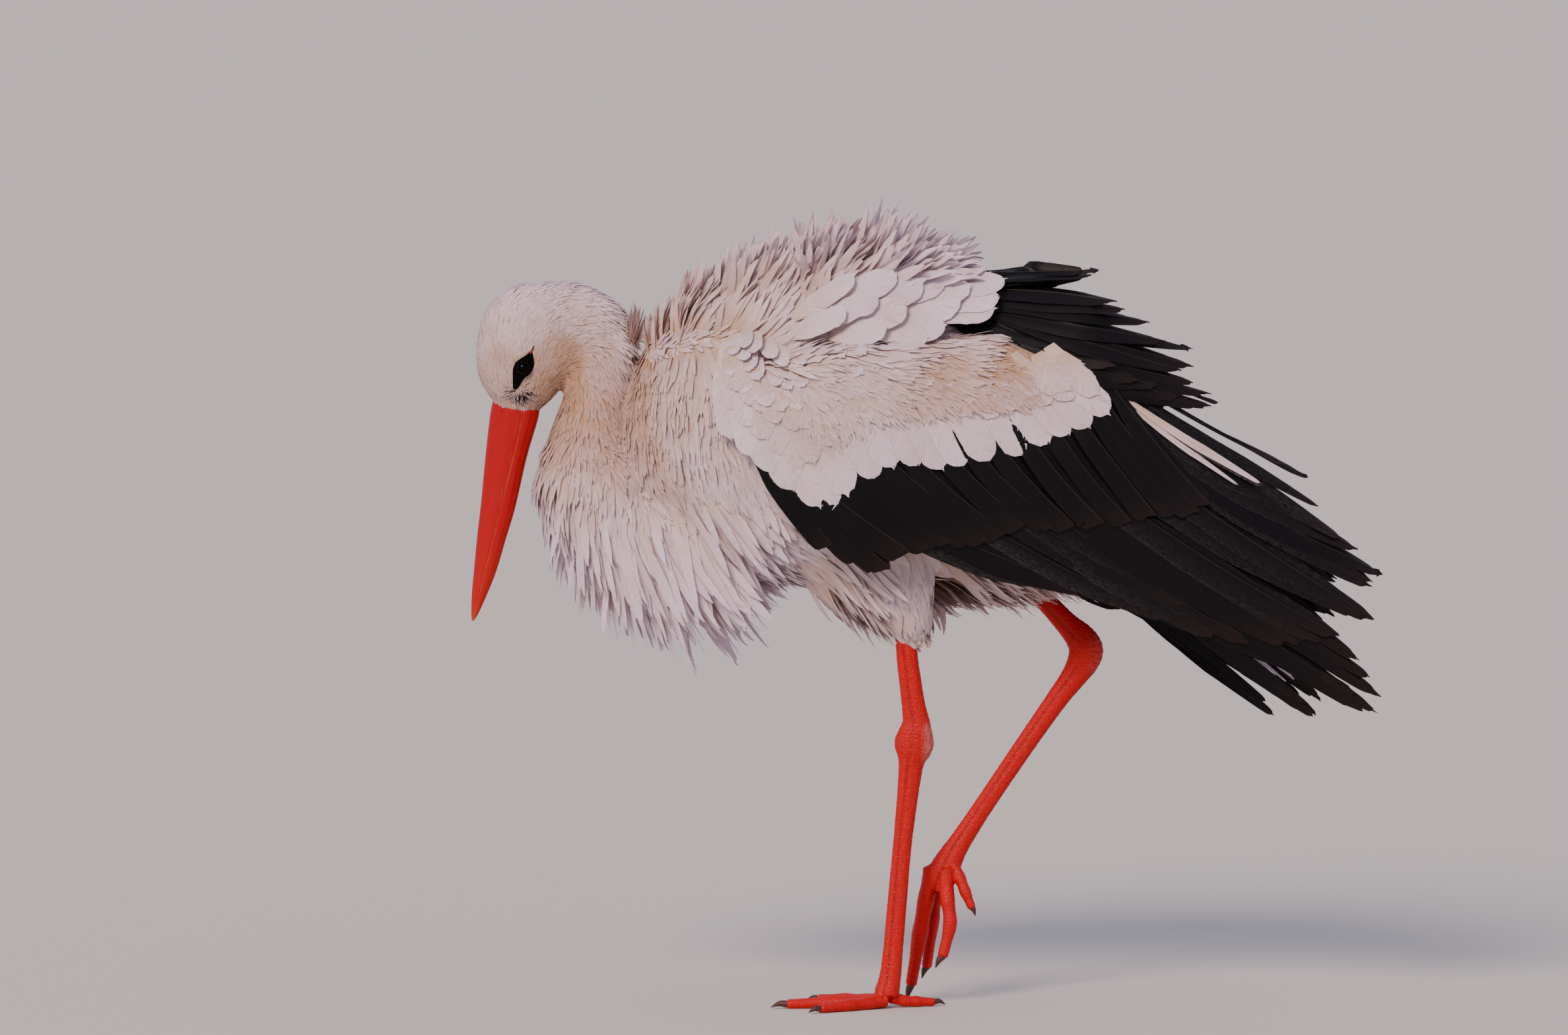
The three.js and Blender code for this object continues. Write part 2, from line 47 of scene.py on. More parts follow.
# ---------- Flesh under the plumage: [x, y, z, half depth in the side view, half width] ----------
HEAD = [
    [-307, 0, 493.6, 16.8, 10.6],
    [-306, 0, 499, 19.6, 13.4],
    [-304.5, 0, 508, 28, 19],
    [-301.5, 0, 527, 38.5, 24],
    [-293.5, 0, 549, 44.5, 28],
    [-284.5, 0, 569, 42, 27],
    [-277, 0, 587, 28, 18],
]
NECK = [
    [-288, 0, 560, 37, 22],
    [-262, 0, 564, 34, 22],
    [-243, 0, 551, 32, 22],
    [-237, 0, 527, 26.5, 23],
    [-240, 0, 502, 26, 25],
    [-244, 0, 474, 31, 29],
    [-243, 0, 446, 37, 36],
    [-222, 0, 420, 38, 42],
]
TRUNK = [
    [-206, 0, 496, 58, 31],
    [-186, 0, 492, 79, 50],
    [-160, 0, 488, 94, 68],
    [-100, 0, 482, 116, 88],
    [-25, 0, 479, 124, 91],
    [45, 0, 464, 112, 82],
    [110, 0, 443, 86, 64],
    [170, 0, 414, 50, 42],
    [226, 0, 391, 20, 20],
]
BREAST = [
    [-274, 0, 458, 9, 17],
    [-266, 0, 437, 18, 30],
    [-246, 0, 418, 27, 38],
    [-208, 0, 404, 31, 43],
    [-158, 0, 390, 22, 44],
    [-116, 0, 380, 12, 36],
]
SHOULDERS = [
    [-60, 0, 585, 22, 56],
    [-20, 0, 589, 27, 56],
    [30, 0, 588, 26, 52],
    [64, 0, 583, 17, 42],
]
THIGHS = {
    "left": [
        [-14, -36, 420, 46, 30],
        [2, -32, 371, 36, 26],
        [15, -29, 332, 20, 15],
        [21, -27, 316, 10.5, 8.5],
    ],
    "right": [
        [60, 34, 432, 30, 30],
        [87, 33, 399, 23, 24],
        [108, 32, 373, 15, 14],
        [117, 31, 362, 9.5, 8.5],
    ],
}

# ---------- The folded wing, like half a roof: [x, ridge height, drop to its widest, half width] ----------
ROOF = np.array([
    [-150, 612, 128, 88],
    [-100, 630, 140, 102],
    [-25, 634, 146, 107],
    [45, 610, 140, 100],
    [110, 608, 150, 91],
    [166, 603, 152, 82],
    [250, 531, 146, 68],
    [340, 437, 126, 48],
    [410, 352, 96, 30],
], float)
# How far the roof's ridge lies off the plane of symmetry, how round its side is, and how far it
# tucks in below its widest.
ROOF_EDGE, ROOF_POWER, ROOF_TUCK = 4.0, 0.55, 0.26
SHOULDER = (-60.0, 490.0)
# The rows' heights are taken from 4.5 degrees above, so near ones lie this much higher.
VIEW_SLOPE = 0.0787
# The right wing droops a little more than the left one and lies further forward.
FAR_WING = {"droop": math.radians(1), "forward": 26.0}
# The edge of the cushion that the wing's arm and its coverts' roots make, [x, z].
WING_PAD = [
    (-126, 542), (-70, 556), (10, 560), (100, 566), (162, 537), (186, 512),
    (150, 482), (60, 468), (-20, 452), (-60, 444), (-104, 470), (-128, 505),
]
WING_PAD_MIDDLE = np.array([20.0, 508.0])

# ---------- Small mathematics ----------
def unit(v):
    return v / np.maximum(np.linalg.norm(v, axis=-1, keepdims=True), 1e-9)


def dot(a, b):
    return np.sum(a * b, axis=-1, keepdims=True)


def curve(points, share):
    """A smooth line through points, at shares of the way from the first to the last."""
    points = np.asarray(points, float)
    share = np.asarray(share, float) * (len(points) - 1)
    first = np.clip(share.astype(int), 0, len(points) - 2)
    part = (share - first)[..., None]
    padded = np.vstack([2 * points[0] - points[1], points, 2 * points[-1] - points[-2]])
    a, b, c, d = (padded[first + k] for k in range(4))
    slope, bend, twist = c - a, 2 * a - 5 * b + 4 * c - d, 3 * (b - c) + d - a
    return 0.5 * (2 * b + slope * part + bend * part**2 + twist * part**3)


def bell(distance, width):
    """A smooth hump, 1 in its middle and 0.37 at its width."""
    return np.exp(-((distance / width) ** 2))


def lengths_along(points):
    """How far along a line each of its points lies."""
    return np.concatenate([[0], np.cumsum(np.linalg.norm(np.diff(points, axis=0), axis=1))])


def inside(outline, x, z):
    """Whether points of the side view lie within an outline."""
    outline = np.asarray(outline, float)
    found = np.zeros(np.shape(x), bool)
    for (x0, z0), (x1, z1) in zip(outline, np.roll(outline, -1, axis=0)):
        crosses = (z0 > z) != (z1 > z)
        found ^= crosses & (x < (x1 - x0) * (z - z0) / (z1 - z0 + 1e-12) + x0)
    return found


def to_frame(points):
    """From the tables' millimetres to the frame's metres."""
    return (np.asarray(points, float) + (0, MIDPLANE, 0)) / 1000


def from_frame(points):
    """From the frame's metres to the tables' millimetres."""
    return points * 1000 - (0, MIDPLANE, 0)


# ---------- Meshes ----------
def add_mesh(name, points, quads, tris, materials):
    """A mesh object from arrays, points in the tables' millimetres."""
    mesh = bpy.data.meshes.new(name)
    quads = np.asarray(quads, np.int32).reshape(-1, 4)
    tris = np.asarray(tris, np.int32).reshape(-1, 3)
    corners = np.concatenate([quads.ravel(), tris.ravel()])
    starts = np.concatenate([np.arange(len(quads)) * 4, len(quads) * 4 + np.arange(len(tris)) * 3])
    mesh.vertices.add(len(points))
    mesh.vertices.foreach_set("co", to_frame(points).astype(np.float32).ravel())
    mesh.loops.add(len(corners))
    mesh.loops.foreach_set("vertex_index", corners)
    mesh.polygons.add(len(starts))
    mesh.polygons.foreach_set("loop_start", starts.astype(np.int32))
    for material in materials:
        mesh.materials.append(material)
    mesh.update(calc_edges=True)
    mesh.shade_smooth()
    obj = bpy.data.objects.new(name, mesh)
    bpy.context.scene.collection.objects.link(obj)
    return obj


def gather(parts, attribute, width=3, kind=np.float32):
    """One attribute of a mesh's vertices, corners or triangles, as an array with a row for each."""
    values = np.zeros(len(parts) * width, kind)
    parts.foreach_get(attribute, values)
    return values.reshape(-1, width)


def paint(mesh, name, values):
    """Four numbers at each vertex, as a colour attribute that the materials read."""
    attribute = mesh.attributes.new(name, "FLOAT_COLOR", "POINT")
    attribute.data.foreach_set("color", np.asarray(values, np.float32).ravel())


def lay_map(mesh, name, spots):
    """A UV map from one place for each vertex."""
    corners = gather(mesh.loops, "vertex_index", 1, np.int32)[:, 0]
    layer = mesh.uv_layers.new(name=name)
    layer.uv.foreach_set("vector", np.asarray(spots, np.float32)[corners].ravel())


def place(obj, slot, *nodes):
    """Hangs a piece under the body's root and hides the nodes of model.glb that it stands for. slot is not
    used.
    """
    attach(obj, "root")
    if nodes:
        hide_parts(*nodes)
    return obj


def closed_tube(ring, cap_first, cap_last):
    """Rings of points [rings, around, 3] closed at both ends."""
    rings, around = ring.shape[:2]
    points = np.vstack([ring.reshape(-1, 3), cap_first, cap_last])
    index = np.arange(rings * around).reshape(rings, around)
    after = np.roll(index, -1, axis=1)
    quads = np.stack([index[:-1], after[:-1], after[1:], index[1:]], -1).reshape(-1, 4)
    last = rings * around
    tris = np.vstack([
        np.stack([after[0], index[0], np.full(around, last)], -1),
        np.stack([index[-1], after[-1], np.full(around, last + 1)], -1),
    ])
    return points, quads, tris


def loft(stations, sides=28, rings=26, cap=0.5):
    """A closed form through stations, as points, quads and triangles."""
    stations = np.asarray(stations, float)
    at = curve(stations, np.linspace(0, 1, rings))
    spine, deep, wide = at[:, :3], at[:, 3], at[:, 4]
    ahead = unit(np.gradient(spine, axis=0))
    across = unit(np.array([0.0, 1.0, 0.0]) - ahead * ahead[:, 1:2])
    up = np.cross(across, ahead)
    turn = np.linspace(0, 2 * np.pi, sides, endpoint=False)
    ring = up[:, None] * (np.cos(turn) * deep[:, None])[..., None]
    ring = ring + across[:, None] * (np.sin(turn) * wide[:, None])[..., None] + spine[:, None]
    first = spine[0] - ahead[0] * cap * min(deep[0], wide[0])
    last = spine[-1] + ahead[-1] * cap * min(deep[-1], wide[-1])
    return closed_tube(ring, first, last)


def roof_at(x):
    """The roof's ridge, its drop to its widest and its half width there, at a place along the bird."""
    return [np.interp(x, ROOF[:, 0], ROOF[:, k]) for k in (1, 2, 3)]


def reach(x, z):
    """Distance of the folded wing's inner face from the plane of symmetry."""
    ridge, drop, width = roof_at(x)
    down = (ridge - z) / drop
    upper = np.maximum(1 - (1 - np.clip(down, 0.0004, 1)) ** 2, 0) ** ROOF_POWER
    lower = 1 - ROOF_TUCK * np.maximum(down - 1, 0) ** 2
    return ROOF_EDGE + (width - ROOF_EDGE) * upper * lower


def on_wing(spots, above):
    """Points of the side view laid on the left wing, above its inner face, and the way out there."""
    x, z = spots[..., 0], spots[..., 1]
    slope_x = (reach(x + 1, z) - reach(x - 1, z)) / 2
    slope_z = (reach(x, z + 1) - reach(x, z - 1)) / 2
    out = unit(np.stack([-slope_x, -np.ones_like(x), -slope_z], -1))
    base = np.stack([x, -reach(x, z), z], -1)
    return base + out * np.asarray(above)[..., None], out


def far_side(points):
    """From the left wing to the right one: mirrored, turned down about the shoulder and set forward."""
    x, y, z = points[..., 0] - SHOULDER[0], -points[..., 1], points[..., 2] - SHOULDER[1]
    cos, sin = math.cos(FAR_WING["droop"]), math.sin(FAR_WING["droop"])
    turned = np.stack([x * cos + z * sin, y, z * cos - x * sin], -1)
    return turned + (SHOULDER[0] - FAR_WING["forward"], 0, SHOULDER[1])


def as_on_left(x, y):
    """Where a place on either wing would lie along the left one."""
    return x + np.where(y > 0, FAR_WING["forward"], 0)


def wing_pad(outer, inner, rings=7, sectors=56):
    """The wing's arm and its coverts' roots, as a cushion on the roof."""
    outline = np.array(WING_PAD + WING_PAD[:1], float)
    run = lengths_along(outline)
    marks = np.linspace(0, run[-1], sectors, endpoint=False)
    edge = np.stack([np.interp(marks, run, outline[:, k]) for k in (0, 1)], -1)
    share = np.linspace(0, 1, rings)[1:, None, None]
    flat = WING_PAD_MIDDLE + (edge - WING_PAD_MIDDLE) * share
    rim = np.sqrt(np.maximum(1 - share[..., 0] ** 6, 0)) * np.ones((1, sectors))
    top, _ = on_wing(flat, outer * rim - inner * (1 - rim))
    bottom, _ = on_wing(flat, np.full(flat.shape[:2], -inner))
    middles = [on_wing(WING_PAD_MIDDLE[None], np.array([h]))[0] for h in (outer, -inner)]
    points = np.vstack([top.reshape(-1, 3), bottom.reshape(-1, 3), *middles])
    n = (rings - 1) * sectors
    index = np.arange(n).reshape(rings - 1, sectors)
    after = np.roll(index, -1, axis=1)
    sheet = np.stack([index[:-1], index[1:], after[1:], after[:-1]], -1).reshape(-1, 4)
    rim_quads = np.stack([index[-1], index[-1] + n, after[-1] + n, after[-1]], -1)
    quads = np.vstack([sheet, sheet[:, ::-1] + n, rim_quads])
    tris = np.vstack([
        np.stack([index[0], after[0], np.full(sectors, 2 * n)], -1),
        np.stack([after[0] + n, index[0] + n, np.full(sectors, 2 * n + 1)], -1),
    ])
    return points, quads, tris


# ---------- The lie of the plumage ----------
# [x, z, way of the feathers in the side view in degrees (0 rearwards, 90 up), length, width,
#  stand in degrees, how freely they hang, spacing, cream tint, raggedness]
X, Z, WAY, LENGTH, WIDTH, STAND, HANG, SPACING, CREAM, RAGGED = range(10)
LIE = np.array([
    # forehead, crown and nape
    [-336, 512, 99, 7, 1.6, 3, 0, 1.75, 0.46, 0.2],
    [-339, 545, 88, 9, 1.7, 4, 0, 1.75, 0.19, 0.2],
    [-330, 575, 66, 10, 1.7, 6, 0, 1.75, 0.12, 0.3],
    [-310, 597, 38, 12, 1.8, 8, 0, 1.86, 0.08, 0.4],
    [-285, 603, 12, 13, 2, 10, 0, 1.86, 0.09, 0.4],
    [-255, 597, -14, 14, 2.1, 12, 0, 1.98, 0.09, 0.5],
    [-232, 583, -34, 16, 2.2, 15, 0, 1.98, 0.14, 0.5],
    [-216, 560, -58, 16, 2.2, 16, 0, 2.1, 0.2, 0.5],
    [-213, 535, -80, 14, 2.2, 14, 0, 2.1, 0.46, 0.5],
    # face, cheeks and the sides of the head
    [-318, 530, 92, 7.5, 1.5, 3, 0, 1.63, 0.66, 0.2],
    [-318, 558, 76, 9.5, 1.6, 4, 0, 1.75, 0.27, 0.2],
    [-302, 502, 95, 5, 1.3, 4, 0, 1.63, 0.75, 0.2],
    [-286, 508, 78, 7, 1.6, 4, 0, 1.63, 1, 0.2],
    [-282, 530, 66, 8.5, 1.6, 3, 0, 1.75, 0.82, 0.2],
    [-292, 560, 52, 10, 1.7, 4, 0, 1.75, 0.35, 0.2],
    [-268, 538, 28, 10, 1.7, 4, 0, 1.86, 0.9, 0.3],
    [-268, 572, 14, 12, 1.8, 6, 0, 1.86, 0.25, 0.3],
    [-246, 560, -22, 13, 2, 7, 0, 1.98, 0.37, 0.4],
    [-240, 535, -56, 13, 2.1, 8, 0, 2.1, 0.68, 0.4],
    # throat and neck
    [-264, 517, -70, 11, 2, 7, 0, 1.8, 1, 0.4],
    [-262, 497, -96, 15, 2.5, 8, 0, 2.1, 0.95, 0.5],
    [-240, 500, -78, 15, 2.6, 9, 0, 2.2, 0.85, 0.5],
    [-222, 505, -58, 15, 2.8, 12, 0, 2.2, 0.77, 0.5],
    [-268, 474, -100, 22, 3.1, 9, 0.1, 1.94, 0.8, 0.5],
    [-244, 470, -82, 20, 3.2, 9, 0, 2.02, 0.8, 0.5],
    [-220, 472, -64, 20, 3.4, 10, 0, 2.09, 0.71, 0.4],
    # the ruff's plumes
    [-280, 452, -102, 38, 3.7, 13, 0.5, 2.76, 0.34, 0.5],
    [-272, 428, -97, 46, 4, 11, 0.75, 3, 0.16, 0.5],
    [-250, 448, -86, 34, 4.2, 11, 0.35, 3.18, 0.34, 0.4],
    [-250, 408, -88, 54, 4.6, 9, 0.85, 3.68, 0.07, 0.5],
    [-226, 430, -78, 42, 5, 10, 0.4, 4.01, 0.22, 0.4],
    [-216, 396, -76, 60, 5.1, 8, 0.85, 4.18, 0.04, 0.5],
    [-192, 430, -66, 46, 5.8, 8, 0.3, 4.51, 0.25, 0.3],
    [-182, 388, -62, 62, 5.4, 7, 0.8, 4.51, 0.04, 0.5],
    [-150, 376, -48, 58, 5.6, 7, 0.7, 4.67, 0.09, 0.5],
    [-120, 370, -36, 52, 5.6, 8, 0.55, 4.85, 0.16, 0.5],
    # breast below the fold
    [-190, 462, -62, 40, 5.5, 5, 0, 3.94, 0.47, 0.3],
    [-160, 470, -68, 44, 5.7, 4, 0, 4.26, 0.34, 0.3],
    [-150, 425, -54, 48, 6, 5, 0, 4.59, 0.2, 0.3],
    [-120, 430, -56, 46, 6.3, 5, 0, 4.77, 0.22, 0.3],
    [-110, 395, -44, 48, 6.3, 6, 0.2, 4.92, 0.18, 0.4],
    # beside the fold behind the neck: upright above, hanging below
    [-207, 552, 100, 34, 4.2, 38, 0, 2.2, 0.5, 0.4],
    [-206, 547, 96, 30, 3.8, 30, 0, 2.71, 0.62, 0.4],
    [-205, 524, -50, 18, 3.3, 11, 0, 1.8, 1, 0.4],
    [-203, 500, -52, 22, 3.6, 9, 0, 2.13, 0.85, 0.4],
    [-200, 480, -58, 28, 4.4, 11, 0, 2.95, 0.67, 0.4],
    [-190, 568, 88, 42, 5.2, 44, 0, 2.21, 0.47, 0.5],
    [-184, 556, 106, 36, 3.5, 26, 0, 2.66, 0.52, 0.3],
    [-180, 520, -76, 38, 4.9, 9, 0, 3.28, 0.56, 0.3],
    [-170, 495, -76, 48, 5.6, 7, 0, 3.77, 0.4, 0.3],
    # the mantle, ruffled upright along the ridge
    [-168, 582, 78, 44, 5.8, 44, 0, 3.12, 0.31, 0.6],
    [-152, 562, 95, 42, 5.4, 10, 0, 3.3, 0.44, 0.3],
    [-148, 528, -80, 46, 6.3, 8, 0, 4.41, 0.44, 0.3],
    [-135, 592, 62, 46, 7.2, 48, 0, 3.34, 0.24, 0.7],
    [-118, 566, 74, 46, 5.8, 16, 0, 3.67, 0.42, 0.4],
    [-98, 600, 46, 50, 7.5, 52, 0, 3.68, 0.24, 0.8],
    [-82, 576, 56, 43, 8.2, 18, 0, 4.4, 0.46, 0.5],
    [-62, 608, 36, 52, 7, 52, 0, 4.01, 0.22, 0.8],
    [-50, 584, 46, 43, 8.6, 18, 0, 4.83, 0.4, 0.5],
    [-20, 613, 26, 50, 7.8, 50, 0, 4.45, 0.15, 0.8],
    [20, 613, 12, 42, 8.4, 42, 0, 5.12, 0.1, 0.8],
    [62, 596, 2, 34, 9.2, 26, 0, 6.01, 0.08, 0.7],
    [-90, 548, 34, 34, 6.2, 10, 0, 4.22, 0.35, 0.3],
    [-30, 590, 32, 43, 9.9, 14, 0, 5.67, 0.17, 0.5],
    [-30, 564, 12, 42, 8, 9, 0, 5.34, 0.19, 0.4],
    [25, 584, 6, 43, 12.1, 9, 0, 6.73, 0.1, 0.4],
    [25, 564, -8, 44, 8.9, 7, 0, 5.69, 0.15, 0.4],
    [62, 572, -8, 38, 8.6, 9, 0, 5.51, 0.09, 0.5],
    # shoulder and lesser coverts
    [-122, 528, -70, 16, 2.6, 4, 0, 2.78, 0.3, 0.6],
    [-118, 498, -72, 18, 2.6, 4, 0, 2.78, 0.22, 0.6],
    [-90, 522, -60, 18, 2.6, 4, 0, 2.78, 0.24, 0.6],
    [-80, 480, -72, 18, 2.6, 4, 0, 2.78, 0.24, 0.6],
    [-40, 530, -34, 18, 2.6, 4, 0, 2.78, 0.36, 0.6],
    [-30, 490, -62, 18, 2.6, 4, 0, 2.78, 0.36, 0.6],
    [30, 535, -26, 16, 2.6, 4, 0, 2.78, 0.73, 0.6],
    [30, 500, -54, 18, 2.6, 4, 0, 2.78, 0.55, 0.6],
    [90, 545, -12, 16, 2.6, 4, 0, 2.78, 1, 0.6],
    [95, 515, -44, 18, 2.6, 4, 0, 2.78, 0.67, 0.6],
    [150, 528, -24, 16, 2.6, 4, 0, 2.78, 0.78, 0.6],
    [150, 500, -46, 18, 2.6, 4, 0, 2.78, 0.44, 0.6],
    # belly, flanks, rump and under the tail
    [-70, 372, -56, 74, 6.2, 6, 0.8, 4.32, 0.38, 0.6],
    [-60, 420, -48, 46, 7.2, 5, 0, 4.61, 0.24, 0.3],
    [-20, 352, -54, 68, 6.2, 6, 0.8, 4.32, 0.46, 0.6],
    [60, 356, -50, 64, 6.2, 8, 0.8, 4.32, 0.55, 0.6],
    [120, 372, -46, 60, 6.2, 8, 0.8, 4.32, 0.55, 0.6],
    [170, 380, -30, 48, 6.5, 7, 0.45, 4.46, 0.3, 0.5],
    [222, 392, -36, 48, 6.6, 6, 0.5, 4.61, 0.24, 0.5],
    [150, 450, -34, 40, 7, 5, 0, 5.76, 0.19, 0.4],
], float)
THIGH_LIE = np.array([
    [-20, 400, -66, 40, 7, 5, 0, 4.99, 0.24, 0.4],
    [5, 365, -72, 40, 6.3, 6, 0.15, 4.23, 0.32, 0.5],
    [16, 335, -76, 36, 5.5, 7, 0.5, 3.17, 0.42, 0.6],
    [24, 318, -80, 24, 4.7, 5, 0.8, 2.42, 0.57, 0.6],
    [75, 415, -50, 38, 6.6, 6, 0, 4.84, 0.32, 0.4],
    [100, 385, -74, 44, 5.9, 6, 0.6, 3.93, 0.4, 0.6],
    [114, 364, -58, 24, 5, 6, 0.8, 2.72, 0.52, 0.6],
], float)
# The parting in front of the mantle, [x, z]: above it the plumage stands up, below it hangs.
PARTING = np.array([[-214, 541], [-200, 543], [-180, 549], [-160, 556], [-140, 556], [-118, 550]], float)
# The part of the flank, [x, z], that the folded wing covers, so that no feathers grow there.
HIDDEN_BY_WING = [
    (-100, 452), (-60, 400), (-10, 384), (62, 382), (118, 370), (190, 354), (260, 326),
    (402, 240), (402, 361), (272, 500), (192, 598), (88, 600), (70, 560), (120, 552), (180, 512),
    (150, 486), (60, 472), (-20, 456), (-60, 448),
]
# Below this line of the wing, [x, z], only the rows of rounded coverts cover its outer face.
COVERT_LINE = np.array([
    [-130, 502], [-100, 476], [-60, 462], [-38, 482], [-8, 494], [104, 502], [150, 508], [190, 518],
], float)
# Along x: where the crease at the parting runs, and where a row of LIE belongs to one side of it.
CREASE, CREASE_ROWS = (-213, -118), (-213, -121)


def blend_rows(rows, x, z):
    """The lie at points of the side view, blended from the nearest rows."""
    gap = (x[:, None] - rows[:, X]) ** 2 + (z[:, None] - rows[:, Z]) ** 2
    weight = 1 / (gap + 40) ** 2
    weight = weight / weight.sum(1, keepdims=True)
    way = np.radians(rows[:, WAY])
    found = weight @ rows
    found[:, WAY] = np.arctan2(weight @ np.sin(way), weight @ np.cos(way))
    return found


def lie_at(points, on_thigh=None):
    """How the feathers lie at places on the skin, as rows like LIE's with the way in radians."""
    x, z = points[:, 0], points[:, 2]
    found = blend_rows(LIE, x, z)
    beside = (LIE[:, X] > CREASE_ROWS[0]) & (LIE[:, X] < CREASE_ROWS[1])
    upright = LIE[:, Z] > np.interp(LIE[:, X], *PARTING.T)
    nape = (z > 556) & (x <= -204) & (x > -250)
    found[nape] = blend_rows(LIE[LIE[:, X] <= CREASE[0]], x[nape], z[nape])
    near = (x > CREASE[0]) & (x < CREASE[1]) & ~nape
    above = z > np.interp(x, *PARTING.T) + 5 * np.sin(x * 1.7 + z * 2.3)
    for side in (True, False):
        here = near & (above == side)
        if here.any():
            found[here] = blend_rows(LIE[~beside | (upright == side)], x[here], z[here])
    # short stray feathers fill the seam between those that stand up and those that hang
    seam = near & (x > -204) & (np.abs(z - np.interp(x, *PARTING.T) - 4 * np.sin(x * 0.9 + z * 1.7)) < 3.5)
    found[seam, WAY] = rng.uniform(-0.9, 0.6, seam.sum())
    found[seam, LENGTH:HANG] = 20, 4, 8
    found[seam, CREAM] = 0.3
    if on_thigh is not None and on_thigh.any():
        found[on_thigh] = blend_rows(THIGH_LIE, x[on_thigh], z[on_thigh])
    return found


# ---------- The skin ----------
class Skin:
    """The bird's one skin, with the means to find places on it."""

    def __init__(self, obj):
        mesh = obj.data
        mesh.calc_loop_triangles()
        corners = gather(mesh.loop_triangles, "loops", 3, np.int32)
        self.points = from_frame(gather(mesh.vertices, "co").astype(float))
        self.normals = gather(mesh.vertices, "normal").astype(float)
        self.tris = gather(mesh.loop_triangles, "vertices", 3, np.int32)
        self.uv = gather(mesh.uv_layers["OFBake"].uv, "vector", 2)[corners]
        self.tree = BVHTree.FromPolygons(self.points.tolist(), self.tris.tolist())

    def shares(self, tri, spots):
        """How near spots on triangles lie to each of the three corners, as shares of 1."""
        a, b, c = (self.points[self.tris[tri, k]] for k in range(3))
        whole = np.cross(b - a, c - a)
        size = np.maximum(dot(whole, whole), 1e-9)
        v = dot(np.cross(c - a, a - spots), whole) / size
        w = dot(np.cross(a - b, a - spots), whole) / size
        share = np.clip(np.concatenate([1 - v - w, v, w], -1), 0, 1)
        return share / share.sum(-1, keepdims=True)

    def nearest(self, spots):
        """The skin's nearest place to each spot, the way out there, and its place on the unwrap."""
        hits = [self.tree.find_nearest(spot) for spot in spots.tolist()]
        at = np.array([hit[0] for hit in hits])
        tri = np.array([hit[2] for hit in hits])
        share = self.shares(tri, at)
        out = unit(np.einsum("nk,nkd->nd", share, self.normals[self.tris[tri]]))
        return at, out, np.einsum("nk,nkd->nd", share, self.uv[tri])

    def seen_from(self, side, flat, depth=60.0):
        """The skin's outermost places on the left (-1) or the right (1), from x and z in the side
        view, or None where there is no skin."""
        return [self.tree.ray_cast((x, side * 60.0, z), (0, -side, 0), depth)[0] for x, z in flat]

    def roots_on(self, side, flat):
        """Roots on one side of the skin, from x and z in the side view."""
        return np.array([list(hit) for hit in self.seen_from(side, flat) if hit])

    def plant(self, spacing):
        """Places spread over the skin, with about the spacing that spacing(centres) gives."""
        a, b, c = (self.points[self.tris[:, k]] for k in range(3))
        area = np.linalg.norm(np.cross(b - a, c - a), axis=1) / 2
        weight = np.cumsum(area / spacing((a + b + c) / 3) ** 2)
        count = int(weight[-1])
        marks = (np.arange(count) + rng.random(count)) * weight[-1] / count
        tri = np.clip(np.searchsorted(weight, marks), 0, len(weight) - 1)
        u, v = rng.random((2, count))
        flip = u + v > 1
        u, v = np.where(flip, 1 - u, u), np.where(flip, 1 - v, v)
        return a[tri] + (b[tri] - a[tri]) * u[:, None] + (c[tri] - a[tri]) * v[:, None]


def join_forms(forms):
    """Several forms' points, quads and triangles as one."""
    points, quads, tris, count = [], [], [], 0
    for at, four, three in forms:
        points.append(at)
        quads.append(four + count)
        tris.append(three + count)
        count += len(at)
    return np.vstack(points), np.vstack(quads), np.vstack(tris)


def one_skin(name, forms, grain, smoothing):
    """Closed forms melted into one, with a grain in millimetres."""
    rough = add_mesh(name + "_rough", *join_forms(forms), [])
    remesh = rough.modifiers.new("melt", "REMESH")
    remesh.mode, remesh.voxel_size = "VOXEL", grain / 1000
    soften = rough.modifiers.new("soften", "SMOOTH")
    soften.factor, soften.iterations = 0.5, smoothing
    bpy.context.view_layer.update()
    graph = bpy.context.evaluated_depsgraph_get()
    mesh = bpy.data.meshes.new_from_object(rough.evaluated_get(graph))
    obj = bpy.data.objects.new(name, mesh)
    bpy.context.scene.collection.objects.link(obj)
    rough_mesh = rough.data
    bpy.data.objects.remove(rough)
    bpy.data.meshes.remove(rough_mesh)
    mesh.shade_smooth()
    return obj


def unwrap(obj):
    """An unwrap of the skin's own shape."""
    bpy.context.view_layer.objects.active = obj
    obj.select_set(True)
    obj.data.uv_layers.new(name="OFBake")
    bpy.ops.object.mode_set(mode="EDIT")
    bpy.ops.mesh.select_all(action="SELECT")
    bpy.ops.uv.smart_project(angle_limit=math.radians(70), island_margin=0.003)
    bpy.ops.object.mode_set(mode="OBJECT")
    obj.select_set(False)


# ---------- Feathers ----------
# Where a vane has points across it, from one edge over the shaft to the other.
VANE_SMALL = [-1, 0, 1]
VANE_MEDIUM = [-1, -0.5, 0, 0.5, 1]
VANE_ROUND = [-1, -0.7, -0.3, 0, 0.3, 0.7, 1]
VANE_LARGE = [-1, -0.7, -0.35, -0.05, 0, 0.05, 0.35, 0.7, 1]


